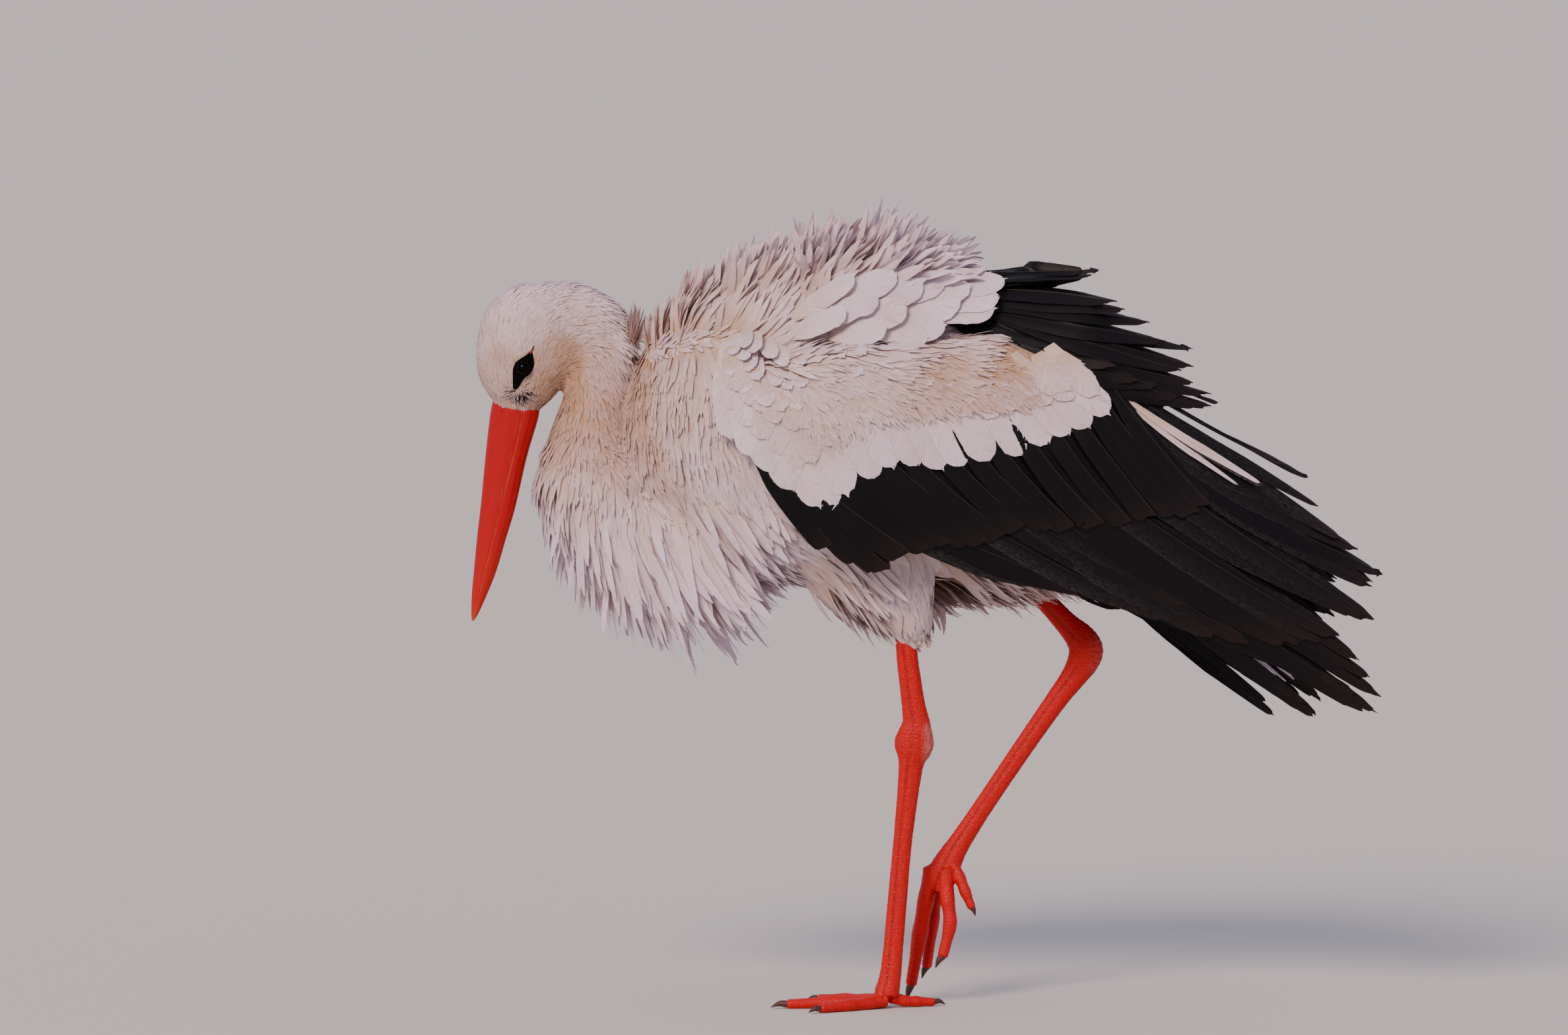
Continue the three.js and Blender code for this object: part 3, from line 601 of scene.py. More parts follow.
class Plumage:
    """Feathers gathered into one mesh. Each is a closed vane of lens-shaped section along its spine."""

    def __init__(self):
        self.points, self.quads, self.tris = [], [], []
        self.tint, self.vane, self.bake = [], [], []
        self.count = 0

    def add(
        self, spine, up, half, columns, thick, camber, cream, places, patch=0.003, rachis=0.0, shift=None,
    ):
        """spine and up: [feathers, rings, 3]. half: [feathers, rings] or the two sides' [.., 2].
        columns: shares across the vane, from -1 to 1. shift: how far each point is moved along the vane."""
        feathers, rings = spine.shape[:2]
        ahead = unit(np.gradient(spine, axis=1))
        side = unit(np.cross(ahead, up))
        top = np.cross(side, ahead)
        columns = np.asarray(columns, float)
        k = len(columns)
        across = np.concatenate([columns, columns[-2:0:-1]])
        if half.ndim == 2:
            half = np.stack([half, half], -1)
        width = np.where(across < 0, half[..., :1], half[..., 1:])
        body = (1 - np.abs(across)) ** 0.6
        rise = np.concatenate([body[:k], -body[k:]]) * np.reshape(thick, (-1, 1, 1)) / 2
        rise = rise + np.concatenate([np.where(np.abs(columns) < 0.02, rachis, 0), np.zeros(k - 2)])
        rise = rise - np.reshape(camber, (-1, 1, 1)) * across**2 * width
        points = spine[:, :, None] + side[:, :, None] * (across * width)[..., None]
        points = points + top[:, :, None] * rise[..., None]
        if shift is not None:
            shift = np.concatenate([shift, shift[..., -2:0:-1]], -1)
            points = points + ahead[:, :, None] * shift[..., None]
        size = len(across)
        start = self.count + np.arange(feathers)[:, None, None] * rings * size
        index = start + np.arange(rings)[:, None] * size + np.arange(size)
        after = np.roll(index, -1, axis=2)
        sheet = np.stack([index[:, :-1], after[:, :-1], after[:, 1:], index[:, 1:]], -1)
        self.quads.append(sheet.reshape(-1, 4))
        for ring, way in ((0, -1), (rings - 1, 1)):
            rim = index[:, ring]
            if k == 3:
                self.quads.append(rim[:, ::way])
            else:
                for j in range(1, k - 2):
                    cell = np.stack([rim[:, j], rim[:, j + 1], rim[:, size - j - 1], rim[:, size - j]], -1)
                    self.quads.append(cell[:, ::way])
                for cell in ((0, 1, size - 1), (k - 2, k - 1, k)):
                    self.tris.append(rim[:, list(cell)][:, ::way])
        steps = np.linalg.norm(np.diff(spine, axis=1), axis=2)
        run = np.concatenate([np.zeros((feathers, 1)), np.cumsum(steps, 1)], 1)
        one = np.ones((feathers, rings, size))
        along = (run / run[:, -1:])[:, :, None] * one
        lot = rng.random((feathers, 1, 1)) * one
        cream = (np.reshape(cream, (-1, 1, 1)) if np.ndim(cream) < 3 else cream) * one
        self.tint.append(np.stack([cream, lot, along, np.abs(across) * one], -1).reshape(-1, 4))
        self.vane.append(np.stack([across * width, run[:, :, None] * one], -1).reshape(-1, 2))
        spot = np.stack([across / 2 * one, along - 0.5], -1) * patch
        self.bake.append((places[:, None, None, :] + spot).reshape(-1, 2))
        self.points.append(points.reshape(-1, 3))
        self.count += feathers * rings * size

    def finish(self, name, material, slot, *nodes):
        """Makes the feathers one mesh object, none of it below the floor."""
        tris = np.vstack(self.tris) if self.tris else np.zeros((0, 3), int)
        points = np.vstack(self.points)
        points[:, 2] = np.maximum(points[:, 2], 0.2)
        obj = add_mesh(name, points, np.vstack(self.quads), tris, [material])
        obj.data.set_sharp_from_angle(angle=math.radians(50))
        paint(obj.data, "plume", np.vstack(self.tint))
        lay_map(obj.data, "Vane", np.vstack(self.vane))
        lay_map(obj.data, "OFBake", np.vstack(self.bake))
        return place(obj, slot, *nodes)


def comb(skin, roots, lie, shares, base=0.5):
    """Spines marched over the skin the way the feathers lie, with the way up at each ring."""
    count = len(roots)
    way, length, stand, hang = (lie[:, column] for column in (WAY, LENGTH, STAND, HANG))
    stand, hang = np.radians(stand), hang[:, None]
    toward = np.stack([np.cos(way), rng.normal(0, 0.12, count), np.sin(way)], -1)
    toward = unit(toward)
    at, out, places = skin.nearest(roots)
    run = (length * np.cos(stand))[:, None]
    spot, spine, up = at, [at + out * base], [out]
    first = out
    for before, share in zip(shares, shares[1:]):
        step = run * (share - before)
        flat = toward - out * dot(toward, out)
        weak = np.clip(0.7 - np.linalg.norm(flat, axis=1, keepdims=True), 0, 1)
        flat = unit(flat + (weak + 1e-3) * (np.array([1.0, 0, 0]) - out * out[:, :1]))
        free = hang * min(1.0, 1.6 * share)
        ahead = unit(flat * (1 - free) + toward * free)
        spot = spot + ahead * step
        near, out, _ = skin.nearest(spot)
        clear = dot(spot - near, out)
        far = np.linalg.norm(spot - near, axis=1, keepdims=True)
        clear = np.where(clear < 0, clear, far)
        spot = np.where(clear > 0, near + (spot - near) * hang**0.5, near)
        rise = (np.sin(stand) * length)[:, None] * share**1.1
        keep = np.maximum(0.5 * free, np.clip(1.3 * np.sin(stand), 0, 0.92)[:, None])
        lift = unit(out * (1 - keep) + first * keep)
        spine.append(spot + lift * (rise + base))
        up.append(lift)
    return np.stack(spine, 1), np.stack(up, 1), places


def roll(spine, up, amount):
    """The way up turned about the spine, each feather by its own amount in radians."""
    ahead = unit(np.gradient(spine, axis=1))
    side = np.cross(ahead, up)
    amount = np.reshape(amount, (-1, 1, 1))
    return unit(up * np.cos(amount) + side * np.sin(amount))


# Half widths along a vane by kind: shares of its length, and shares of its greatest half width there.
OUTLINES = {
    "plume": ([0, 0.25, 0.6, 0.85, 1], [0.5, 0.9, 1, 0.72, 0.12]),
    "worn": ([0, 0.3, 0.58, 0.76, 0.9, 0.97, 0.99, 1], [0.45, 0.85, 1, 0.78, 0.56, 0.42, 0.3, 0.12]),
    "blunt": ([0, 0.3, 0.88, 0.93, 0.97, 0.99, 1], [0.5, 0.9, 1, 0.94, 0.76, 0.5, 0.16]),
    "club": ([0, 0.6, 0.8, 0.92, 0.98, 1], [0.5, 0.4, 0.8, 1, 0.7, 0.15]),
    "fur": ([0, 0.4, 0.75, 1], [0.8, 1, 0.7, 0.06]),
    "round": ([0, 0.3, 0.7, 0.88, 0.97, 1], [0.4, 0.85, 1, 0.86, 0.45, 0.12]),
    "pointed": ([0, 0.3, 0.7, 0.9, 1], [0.45, 0.85, 1, 0.72, 0.1]),
}


def outline(shares, kind):
    return np.interp(shares, *OUTLINES[kind])


def feathers_on(skin, plumage, roots, lie, rings, kind, thick, camber=0.1, base=0.5):
    """Slim feathers of one sort at their roots on the skin, ruffled a little in clumps."""
    count = len(roots)
    lie = lie.copy()
    x, z = roots[:, 0], roots[:, 2]
    clump = np.sin(x * 0.23 + 2 * np.sin(z * 0.13)) * np.sin(z * 0.19 + 2 * np.sin(x * 0.11))
    lie[:, WAY] += rng.normal(0, 0.08, count) * (1 + lie[:, RAGGED]) + 0.10 * clump
    lie[:, LENGTH] *= rng.uniform(0.82, 1.15, count)
    lie[:, STAND] *= rng.uniform(0.7, 1.3, count) * (1 + 0.35 * clump)
    share = 1 - (1 - np.linspace(0, 1, rings)) ** (1.5 if rings > 4 else 1.2)
    spine, up, places = comb(skin, roots, lie, share, base)
    up = roll(spine, up, rng.normal(0, 1, count) * (0.07 + 0.9 * np.clip((lie[:, STAND] - 22) / 24, 0, 1)))
    half = outline(share, kind) * (lie[:, WIDTH] / 2)[:, None] * rng.uniform(0.85, 1.15, (count, 1))
    cream = np.clip(lie[:, CREAM] + rng.normal(0, 0.05, count), 0, 1)
    plumage.add(spine, up, half, VANE_SMALL, thick, camber, cream, places)


# ---------- Finishes ----------
def linear(hexed):
    """A colour written as sRGB hex, as the linear values that the shaders take."""
    channels = [int(hexed[i:i + 2], 16) / 255 for i in (1, 3, 5)]
    return [c / 12.92 if c <= 0.04045 else ((c + 0.055) / 1.055) ** 2.4 for c in channels] + [1.0]


class Finish:
    """A material with one principled shader. add() puts in a node with its settings and links."""

    def __init__(self, name, **sockets):
        self.material = bpy.data.materials.new(name)
        self.material.use_nodes = True
        self.tree = self.material.node_tree
        self.shader = self.tree.nodes["Principled BSDF"]
        for socket, value in sockets.items():
            self.shader.inputs[socket.replace("_", " ")].default_value = value

    def add(self, kind, settings=None, **inputs):
        node = self.tree.nodes.new("ShaderNode" + kind)
        for key, value in (settings or {}).items():
            if key == "ramp":
                for i, (spot, colour) in enumerate(value):
                    stop = node.color_ramp.elements[i] if i < 2 else node.color_ramp.elements.new(spot)
                    stop.position, stop.color = spot, colour if len(colour) == 4 else (*colour, 1)
            else:
                setattr(node, key, value)
        for key, value in inputs.items():
            socket = node.inputs[int(key[1:]) if key[0] == "_" else key.replace("_", " ")]
            if isinstance(value, bpy.types.NodeSocket):
                self.tree.links.new(value, socket)
            else:
                socket.default_value = value
        return node

    def carried(self, name):
        """The four numbers that each vertex carries under a name."""
        read = self.add("Attribute", {"attribute_name": name})
        parts = self.add("SeparateColor", Color=read.outputs["Color"])
        return (*parts.outputs, read.outputs["Alpha"])

    def spot(self, name):
        """The place on one of the mesh's UV maps."""
        return self.add("UVMap", {"uv_map": name}).outputs[0]

    def stretched(self, spot, *scale):
        return self.add("Mapping", Vector=spot, Scale=scale).outputs[0]

    def noise(self, scale, detail, roughness=0.5, **inputs):
        return self.add("TexNoise", Scale=scale, Detail=detail, Roughness=roughness, **inputs).outputs["Fac"]

    def mix(self, share, one, two, blend="MIX"):
        node = self.add("Mix", {"data_type": "RGBA", "blend_type": blend})
        for index, value in ((0, share), (6, one), (7, two)):
            if isinstance(value, bpy.types.NodeSocket):
                self.tree.links.new(value, node.inputs[index])
            else:
                node.inputs[index].default_value = value
        return node.outputs[2]

    def shaded(self, colour, shade):
        """A colour darkened by a factor."""
        grey = self.add("CombineColor", Red=shade, Green=shade, Blue=shade)
        return self.mix(1.0, colour, grey.outputs[0], "MULTIPLY")

    def sums(self, operation, *values, clamp=False):
        inputs = {f"_{i}": value for i, value in enumerate(values)}
        return self.add("Math", {"operation": operation, "use_clamp": clamp}, **inputs).outputs[0]

    def wire(self, **sockets):
        for socket, value in sockets.items():
            self.tree.links.new(value, self.shader.inputs[socket.replace("_", " ")])
        return self.material

    def let_light_through(self, colour, share):
        """Some of the light that falls on the far face comes out of this one."""
        glow = self.add("BsdfTranslucent", Color=colour)
        both = self.add("MixShader", _0=share, _1=self.shader.outputs[0], _2=glow.outputs[0])
        self.tree.links.new(both.outputs[0], self.tree.nodes["Material Output"].inputs["Surface"])
        return self.material

    def bump(self, height, distance, strength=1.0):
        return self.add("Bump", Height=height, Distance=distance, Strength=strength).outputs[0]


def barbs(finish, spacing, slope):
    """Barbs that run out from the shaft, spacing in millimetres along it; the steeper, the nearer to it."""
    parts = finish.add("SeparateXYZ", Vector=finish.spot("Vane"))
    slant = finish.sums("MULTIPLY", finish.sums("ABSOLUTE", parts.outputs[0]), slope)
    run = finish.sums("SUBTRACT", parts.outputs[1], slant)
    wave = finish.sums("SINE", finish.sums("MULTIPLY", run, 2 * math.pi / spacing))
    clumps = finish.add("TexNoise", {"noise_dimensions": "1D"}, W=run, Scale=0.22, Detail=3.0, Roughness=0.6)
    return finish.sums("MULTIPLY_ADD", wave, 0.3, clumps.outputs["Fac"])


def white_plumage():
    """Contour feathers of a bird, unpigmented keratin washed cream by soil and preen oil: matt, with
    a faint sheen from the barbs, which are 0.35 mm apart and drawn at 2 mm so that they show."""
    finish = Finish(
        "white contour feather, matt keratin", Roughness=0.85, IOR=1.54, Specular_IOR_Level=0.12,
        Sheen_Weight=0.08, Sheen_Roughness=0.7,
    )
    cream, lot, along, _ = finish.carried("plume")
    drift = finish.noise(22.0, 3.0, 0.6, Vector=finish.add("TexCoord").outputs["Object"])
    cream = finish.sums("ADD", cream, finish.sums("MULTIPLY_ADD", drift, 0.9, -0.45), clamp=True)
    # each vane is deeper in colour at its root, where the next one shades it, and palest at its tip
    base = finish.mix(cream, linear("#f8e9f2"), linear("#cfa072"))
    deep = finish.mix(cream, linear("#f2dcc2"), linear("#c6905a"))
    root = finish.sums("SUBTRACT", 1.0, finish.sums("MULTIPLY", along, 1.6), clamp=True)
    colour = finish.mix(finish.sums("MULTIPLY", root, 0.85), base, deep)
    tip = finish.sums("MULTIPLY", finish.sums("POWER", along, 3.0), 0.4)
    colour = finish.mix(tip, colour, linear("#f8f0fa"))
    lines = barbs(finish, spacing=2.0, slope=2.2)
    shade = finish.sums("MULTIPLY_ADD", lot, 0.12, finish.sums("MULTIPLY_ADD", lines, 0.24, 0.74))
    colour = finish.shaded(colour, shade)
    finish.wire(Base_Color=colour, Normal=finish.bump(lines, 0.0003, 0.5))
    return finish.let_light_through(colour, 0.3)


def black_plumage():
    """Flight feathers, keratin packed with melanin: near black with a dull purple-brown gloss, browner
    and frayed at the tips. Barbs 0.5 mm apart, drawn at 1.1 mm so that they show."""
    finish = Finish(
        "black flight feather, melanin keratin", Roughness=0.42, IOR=1.54, Specular_IOR_Level=0.16,
    )
    grey, lot, along, across = finish.carried("plume")
    lines = barbs(finish, spacing=1.1, slope=1.2)
    body = finish.mix(lot, linear("#030204"), linear("#070507"))
    brown = finish.sums("MULTIPLY", finish.sums("POWER", along, 9.0), 0.6)
    body = finish.mix(brown, body, linear("#2a1c17"))
    # painted sheen: towards grazing angles a purplish colour is painted into the base, standing in for the
    # feathers' gloss
    gloss = finish.add("LayerWeight", Blend=0.35).outputs["Facing"]
    body = finish.mix(finish.sums("MULTIPLY", gloss, 0.5), body, linear("#0c080f"))
    # the silvery grey on the webs that lie bare, in streaks along the vane: partly their own bloom, partly a
    # painted sheen
    mottle = finish.noise(1.6, 5.0, 0.75, Vector=finish.stretched(finish.spot("Vane"), 0.5, 0.11, 1))
    streaks = finish.sums("MULTIPLY_ADD", mottle, 5.0, -2.1, clamp=True)
    body = finish.mix(finish.sums("MULTIPLY", grey, streaks, clamp=True), body, linear("#6a6266"))
    body = finish.shaded(body, finish.sums("MULTIPLY_ADD", lines, 0.3, 0.8))
    quill = finish.sums("MULTIPLY_ADD", across, -16.0, 1.0, clamp=True)
    body = finish.mix(finish.sums("MULTIPLY", quill, 0.32), body, linear("#4a403e"))
    rough = finish.sums("MULTIPLY_ADD", lines, 0.22, 0.36)
    return finish.wire(Base_Color=body, Roughness=rough, Normal=finish.bump(lines, 0.0002, 0.25))


def skin_under_feathers():
    """The bird's skin and down, which shows only as a soft dusk between the feathers."""
    finish = Finish("down over skin", Roughness=0.9)
    cream, *_ = finish.carried("plume")
    fluff = finish.noise(300.0, 4.0)
    colour = finish.mix(cream, linear("#e6dcd8"), linear("#c8a280"))
    colour = finish.mix(finish.sums("MULTIPLY", fluff, 0.3), colour, linear("#dcccc6"))
    return finish.wire(Base_Color=colour, Normal=finish.bump(fluff, 0.001, 0.6))


# ---------- Body ----------
EYE = np.array([-300.2, 25.0, 530.6])
# The edge of the feathers round the eye's bare skin, [x, z].
EYE_PATCH = [
    (-291, 549), (-292.9, 543.5), (-292.2, 539.5), (-291.6, 533.9), (-292.7, 529.2), (-294.9, 526),
    (-299.2, 522.6), (-301.2, 519.6), (-303.2, 515.8), (-305.2, 512.3), (-308.4, 512.8), (-308.6, 517.2),
    (-308.5, 523.3), (-308.3, 529.5), (-306.3, 534.6), (-302.2, 537.9), (-297.8, 540.6), (-295, 543),
]


def make_skin():
    forms = [loft(HEAD), loft(NECK), loft(TRUNK, 48, 40), loft(BREAST), loft(SHOULDERS)]
    forms += [loft(stations) for stations in THIGHS.values()]
    pad = wing_pad(5.5, 24)
    forms += [pad, (far_side(pad[0]), pad[1][:, ::-1], pad[2][:, ::-1])]
    obj = one_skin("skin", forms, 3.4, 5)
    unwrap(obj)
    obj.data.materials.append(skin_under_feathers())
    skin = Skin(obj)
    marks = np.zeros((len(skin.points), 4))
    marks[:, 0] = lie_at(skin.points)[:, CREAM]
    paint(obj.data, "plume", marks)
    place(
        obj, "white_feather", "head", "neck_upper", "neck_lower", "trunk", "mantle", "ruff",
        "thigh_left", "thigh_right",
    )
    return skin


def beside_line(points, line):
    """Each point's nearest place on a line of stations, and its gap from it in shares of the radius there."""
    gap = np.linalg.norm(points[:, None] - line[None, :, :3], axis=2)
    nearest = gap.argmin(1)
    return nearest, gap[np.arange(len(points)), nearest] / line[nearest, 3]


def on_thigh(points):
    """Whether places on the skin belong to a thigh."""
    found = np.zeros(len(points), bool)
    for stations in THIGHS.values():
        _, gap = beside_line(points, curve(stations, np.linspace(0.3, 1, 24)))
        found |= gap < 1.12
    return found & (points[:, 2] < 392)


def bare(points):
    """Places with no feathers: round the eyes, within the bill's base and under the folded wings."""
    x, y, z = points.T
    eyes = inside(EYE_PATCH, x, z) & (np.abs(y) > 10)
    on_left = as_on_left(x, y)
    under = inside(HIDDEN_BY_WING, on_left, z) & (np.abs(y) > 12)
    pad = inside(WING_PAD, on_left, z)
    bill = (z < 433 - 0.2 * x) & (x < -283)
    return eyes | (under & ~pad & ~on_thigh(points)) | bill


def long_plumes(skin, white):
    """The ruff's longest plumes, which hang free and apart below the rest."""
    front, top = -96, 436

    def spacing(at):
        return np.where((at[:, 0] < front) & (at[:, 2] < top) & (at[:, 2] > 350), 7.4, 400.0)

    roots = skin.plant(spacing)
    x, z = roots[:, 0], roots[:, 2]
    roots = roots[~on_thigh(roots) & (x < front) & (z < top)]
    x, z = roots[:, 0], roots[:, 2]
    count = len(roots)
    lie = lie_at(roots)
    lie[:, LENGTH] = np.interp(
        x, [-276, -262, -245, -215, -185, -150, -120, front], [58, 76, 102, 116, 112, 78, 46, 30],
    )
    lie[:, LENGTH] *= np.interp(z, [370, 400, top], [0.86, 1, 0.9]) * rng.uniform(0.7, 1.12, count)
    lie[:, WIDTH] = np.interp(x, [-276, -225, -150], [5.4, 8.6, 9.4]) * rng.uniform(0.7, 1.1, count)
    lie[:, STAND], lie[:, HANG], lie[:, CREAM], lie[:, RAGGED] = 8, 0.92, 0.05, 0.5
    plumage = Plumage()
    feathers_on(skin, plumage, roots, lie, 11, "plume", 0.3, 0.12)
    plumage.finish("feathers_ruff_plumes", white, "white_feather")


def cover_body(skin, white):
    """The contour feathers, root by root over the whole skin, in pieces by part of the body."""
    roots = skin.plant(lambda at: lie_at(at, on_thigh(at))[:, SPACING])
    roots = roots[~bare(roots)]
    thigh = on_thigh(roots)
    lie = lie_at(roots, thigh)
    x, y, z = roots.T
    left = y < 0
    on_left = as_on_left(x, y)
    head = (z > 497) & (x < -212)
    neck = ~head & (x < -209) & (z > 452)
    ruff = ~head & ~neck & (lie[:, LENGTH] > 52) & (x < -95)
    wing = inside(WING_PAD, on_left, z) & (np.abs(y) > 40)
    mantle = ~head & ~neck & ~wing & (z > 520)
    belly = ~head & ~neck & ~ruff & (z < 400) & (x > -100)
    covered = wing & (z - VIEW_SLOPE * np.abs(y) < np.interp(on_left, *COVERT_LINE.T))
    covered &= (np.abs(y) > reach(on_left, z) - 1.5) & (on_left > -114)
    taken = covered.copy()
    # name, which roots, rings along each vane, its kind and its thickness
    groups = [
        ("head_left", head & left & ~thigh, 4, "fur", 0.16),
        ("head_right", head & ~left & ~thigh, 4, "fur", 0.16),
        ("neck", neck & ~thigh, 5, "plume", 0.16),
        ("ruff", ruff & ~thigh, 8, "plume", 0.2),
        ("mantle_left", mantle & left & ~thigh, 7, "plume", 0.18),
        ("mantle_right", mantle & ~left & ~thigh, 7, "plume", 0.18),
        ("wing_left", wing & left & ~thigh, 4, "plume", 0.15),
        ("wing_right", wing & ~left & ~thigh, 4, "plume", 0.15),
        ("thighs", thigh, 7, "plume", 0.2),
        ("belly", belly, 7, "plume", 0.2),
        ("breast", np.ones_like(taken), 7, "plume", 0.2),
    ]
    for name, chosen, rings, kind, thick in groups:
        chosen = chosen & ~taken
        taken |= chosen
        lift = 3.6 if name.startswith("wing") else 0.5
        plumage = Plumage()
        feathers_on(skin, plumage, roots[chosen], lie[chosen], rings, kind, thick, base=lift)
        plumage.finish("feathers_" + name, white, "white_feather")


# ---------- Bill, eyes and face ----------
BILL = [
    [-305, 0, 500, 19, 12],
    [-307.6, 0, 489, 19.5, 12],
    [-314, 0, 458, 16.9, 10.3],
    [-320.8, 0, 416.5, 14.2, 8.4],
    [-326.5, 0, 389, 11.8, 7.0],
    [-331.4, 0, 364, 9.4, 5.8],
    [-336.5, 0, 343, 6.4, 4.2],
    [-340.6, 0, 326, 3.0, 2.2],
    [-342.4, 0, 319.5, 0.9, 0.8],
]
# The gape's two ends in the side view, and half of its width.
GAPE, GAPE_GAP = ((-297.5, 504), (-342.6, 318)), 0.05
# How far round from the ridge the nostrils' grooves run, and from the keel the lower half's.
NOSTRIL_TURN, LOWER_GROOVE_TURN = 0.98, 0.75


def bill_half(upper, rings=110, oval=57, edge=7):
    """One half of the bill: its part of the oval, closed along the gape by a few points across the cut.
    The upper half has the nostrils' slits and the grooves that run on from them; both have a sharp
    cutting edge."""
    around = oval + edge
    share = np.linspace(0, 1, rings) ** 0.92

    def along_bill(shares, values):
        return np.interp(share, shares, values)[:, None]

    at = curve(BILL, share)
    spine, deep, wide = at[:, :3], at[:, 3], at[:, 4]
    ahead = unit(np.gradient(spine, axis=0))
    across = np.array([0.0, 1.0, 0.0])
    up = unit(np.cross(across, ahead))
    (x0, z0), (x1, z1) = GAPE
    line = np.interp(spine[:, 2], [z1, z0], [x1, x0])
    cut = (line - spine[:, 0]) * up[:, 0]
    turn_at_cut = np.arccos(np.clip(cut / deep, -0.98, 0.98))[:, None]
    k = np.linspace(-1, 1, oval)[None]
    turn = k * turn_at_cut if upper else np.pi + k * (np.pi - turn_at_cut)
    u, v = np.cos(turn) * deep[:, None], np.sin(turn) * wide[:, None]
    if upper:
        ridge = bell(turn, 0.3) * 0.7 * (deep / 19)[:, None]
        off = np.abs(turn) - NOSTRIL_TURN
        groove = bell(off, 0.13) * along_bill([0, 0.06, 0.4, 0.6], [0, 0.7, 0.4, 0])
        slit = bell(off, 0.035) * along_bill([0.01, 0.04, 0.16, 0.25], [0, 1.3, 1.0, 0])
        u = u * (1 - (groove + slit) / deep[:, None]) + ridge
        v = v * (1 - (groove + slit) / wide[:, None])
    else:
        off = np.abs(turn - np.pi) - LOWER_GROOVE_TURN
        groove = bell(off, 0.12) * along_bill([0, 0.1, 0.6, 0.9], [0, 0.35, 0.3, 0])
        u, v = u * (1 - groove / deep[:, None]), v * (1 - groove / wide[:, None])
    gap = GAPE_GAP if upper else -GAPE_GAP
    u = np.where(np.abs(k) > 0.999, u + gap, u)
    edge_u = np.ones((rings, edge)) * (cut[:, None] + gap)
    edge_v = v[:, -1:] + (v[:, :1] - v[:, -1:]) * np.linspace(0, 1, edge + 2)[1:-1][None]
    u, v = np.concatenate([u, edge_u], 1), np.concatenate([v, edge_v], 1)
    bevel = np.concatenate([np.clip((np.abs(k[0]) - 0.93) / 0.07, 0, 1), np.ones(edge)])[None]
    v = v * (1 - bevel * np.minimum(0.5 / wide, 0.2)[:, None])
    ring = spine[:, None] + up[:, None] * u[..., None] + across * v[..., None]
    points, quads, tris = closed_tube(ring, ring[0].mean(0), ring[-1].mean(0) + ahead[-1] * 0.5)
    # how far along each point lies, the painted shade in the nostrils' slits and along the gape between the
    # halves, and how worn the horn is there
    along = np.concatenate([np.repeat(share, around), [0, 1]])
    dark, worn = np.zeros((2, rings, around))
    if upper:
        dark[:, :oval] = np.clip((slit - 0.45) / 0.5, 0, 1)
    dark[:, oval:] = along_bill([0.4, 0.7], [0.2, 0.9])
    worn[:, :oval] = np.clip((np.abs(k) - 0.9) / 0.1, 0, 1) * along_bill([0, 0.5, 0.7], [1, 0.7, 0])
    dark, worn = (np.concatenate([value.ravel(), [0, 0]]) for value in (dark, worn))
    about = np.broadcast_to(np.linspace(0, 1, around), (rings, around))
    spot = np.stack([np.concatenate([about.ravel(), [0, 0]]), along], -1)
    return points, quads, tris, np.stack([along, dark, worn, along * 0], -1), spot


def bill_horn():
    """A bill's horny sheath, keratin polished by use: a thin glossy skin over solid red, orange where it
    wears thin at the tip, with fine pale streaks along the grain."""
    finish = Finish("bill horn, polished keratin", Roughness=0.3, IOR=1.5, Specular_IOR_Level=0.3)
    along, dark, worn, _ = finish.carried("horn")
    spot = finish.spot("Grain")
    grain = finish.noise(1.0, 5.0, 0.65, Vector=finish.stretched(spot, 60, 9, 1))
    patch = finish.noise(1.0, 4.0, 0.7, Vector=finish.stretched(spot, 22, 26, 1))
    stops = [(0.0, "#a6000c"), (0.5, "#ae0208"), (0.8, "#b41404"), (1.0, "#b8400c")]
    reds = finish.add("ValToRGB", {"ramp": [(at, linear(red)) for at, red in stops]}, Fac=along)
    streak = finish.sums("MULTIPLY", finish.sums("MULTIPLY_ADD", grain, 7.0, -4.3, clamp=True), 0.22)
    colour = finish.mix(streak, reds.outputs[0], linear("#d84a3a"))
    flake = finish.sums("MULTIPLY_ADD", patch, 12.0, -7.9, clamp=True)
    colour = finish.mix(finish.sums("MULTIPLY", flake, 0.5), colour, linear("#c86a60"))
    edge = finish.sums("MULTIPLY", worn, finish.sums("MULTIPLY_ADD", grain, 7.0, -3.7, clamp=True))
    colour = finish.mix(edge, colour, linear("#d8805c"))
    # painted shade: near black in the nostrils' slits and on the gape's edge, darker towards the tip
    colour = finish.mix(dark, colour, linear("#1c0605"))
    rough = finish.sums("MULTIPLY_ADD", grain, 0.25, 0.16)
    return finish.wire(Base_Color=colour, Roughness=rough, Normal=finish.bump(grain, 0.0003, 0.35))


def make_bill():
    horn = bill_horn()
    for name, upper in (("bill_upper_horn", True), ("bill_lower_horn", False)):
        points, quads, tris, marks, spot = bill_half(upper)
        obj = add_mesh(name, points, quads, tris, [horn])
        obj.data.set_sharp_from_angle(angle=math.radians(40))
        paint(obj.data, "horn", marks)
        lay_map(obj.data, "Grain", spot)
        place(obj, "bill_horn", "bill_upper" if upper else "bill_lower")


def bare_face():
    """The bare black skin round the eye and at the bill's base, with its dull wrinkled gloss."""
    finish = Finish(
        "bare black skin", Roughness=0.6, Base_Color=linear("#040303"), Specular_IOR_Level=0.05,
    )
    crinkle = finish.add("TexVoronoi", {"feature": "DISTANCE_TO_EDGE"}, Scale=900.0).outputs[0]
    return finish.wire(Normal=finish.bump(crinkle, 0.0004, 0.5))


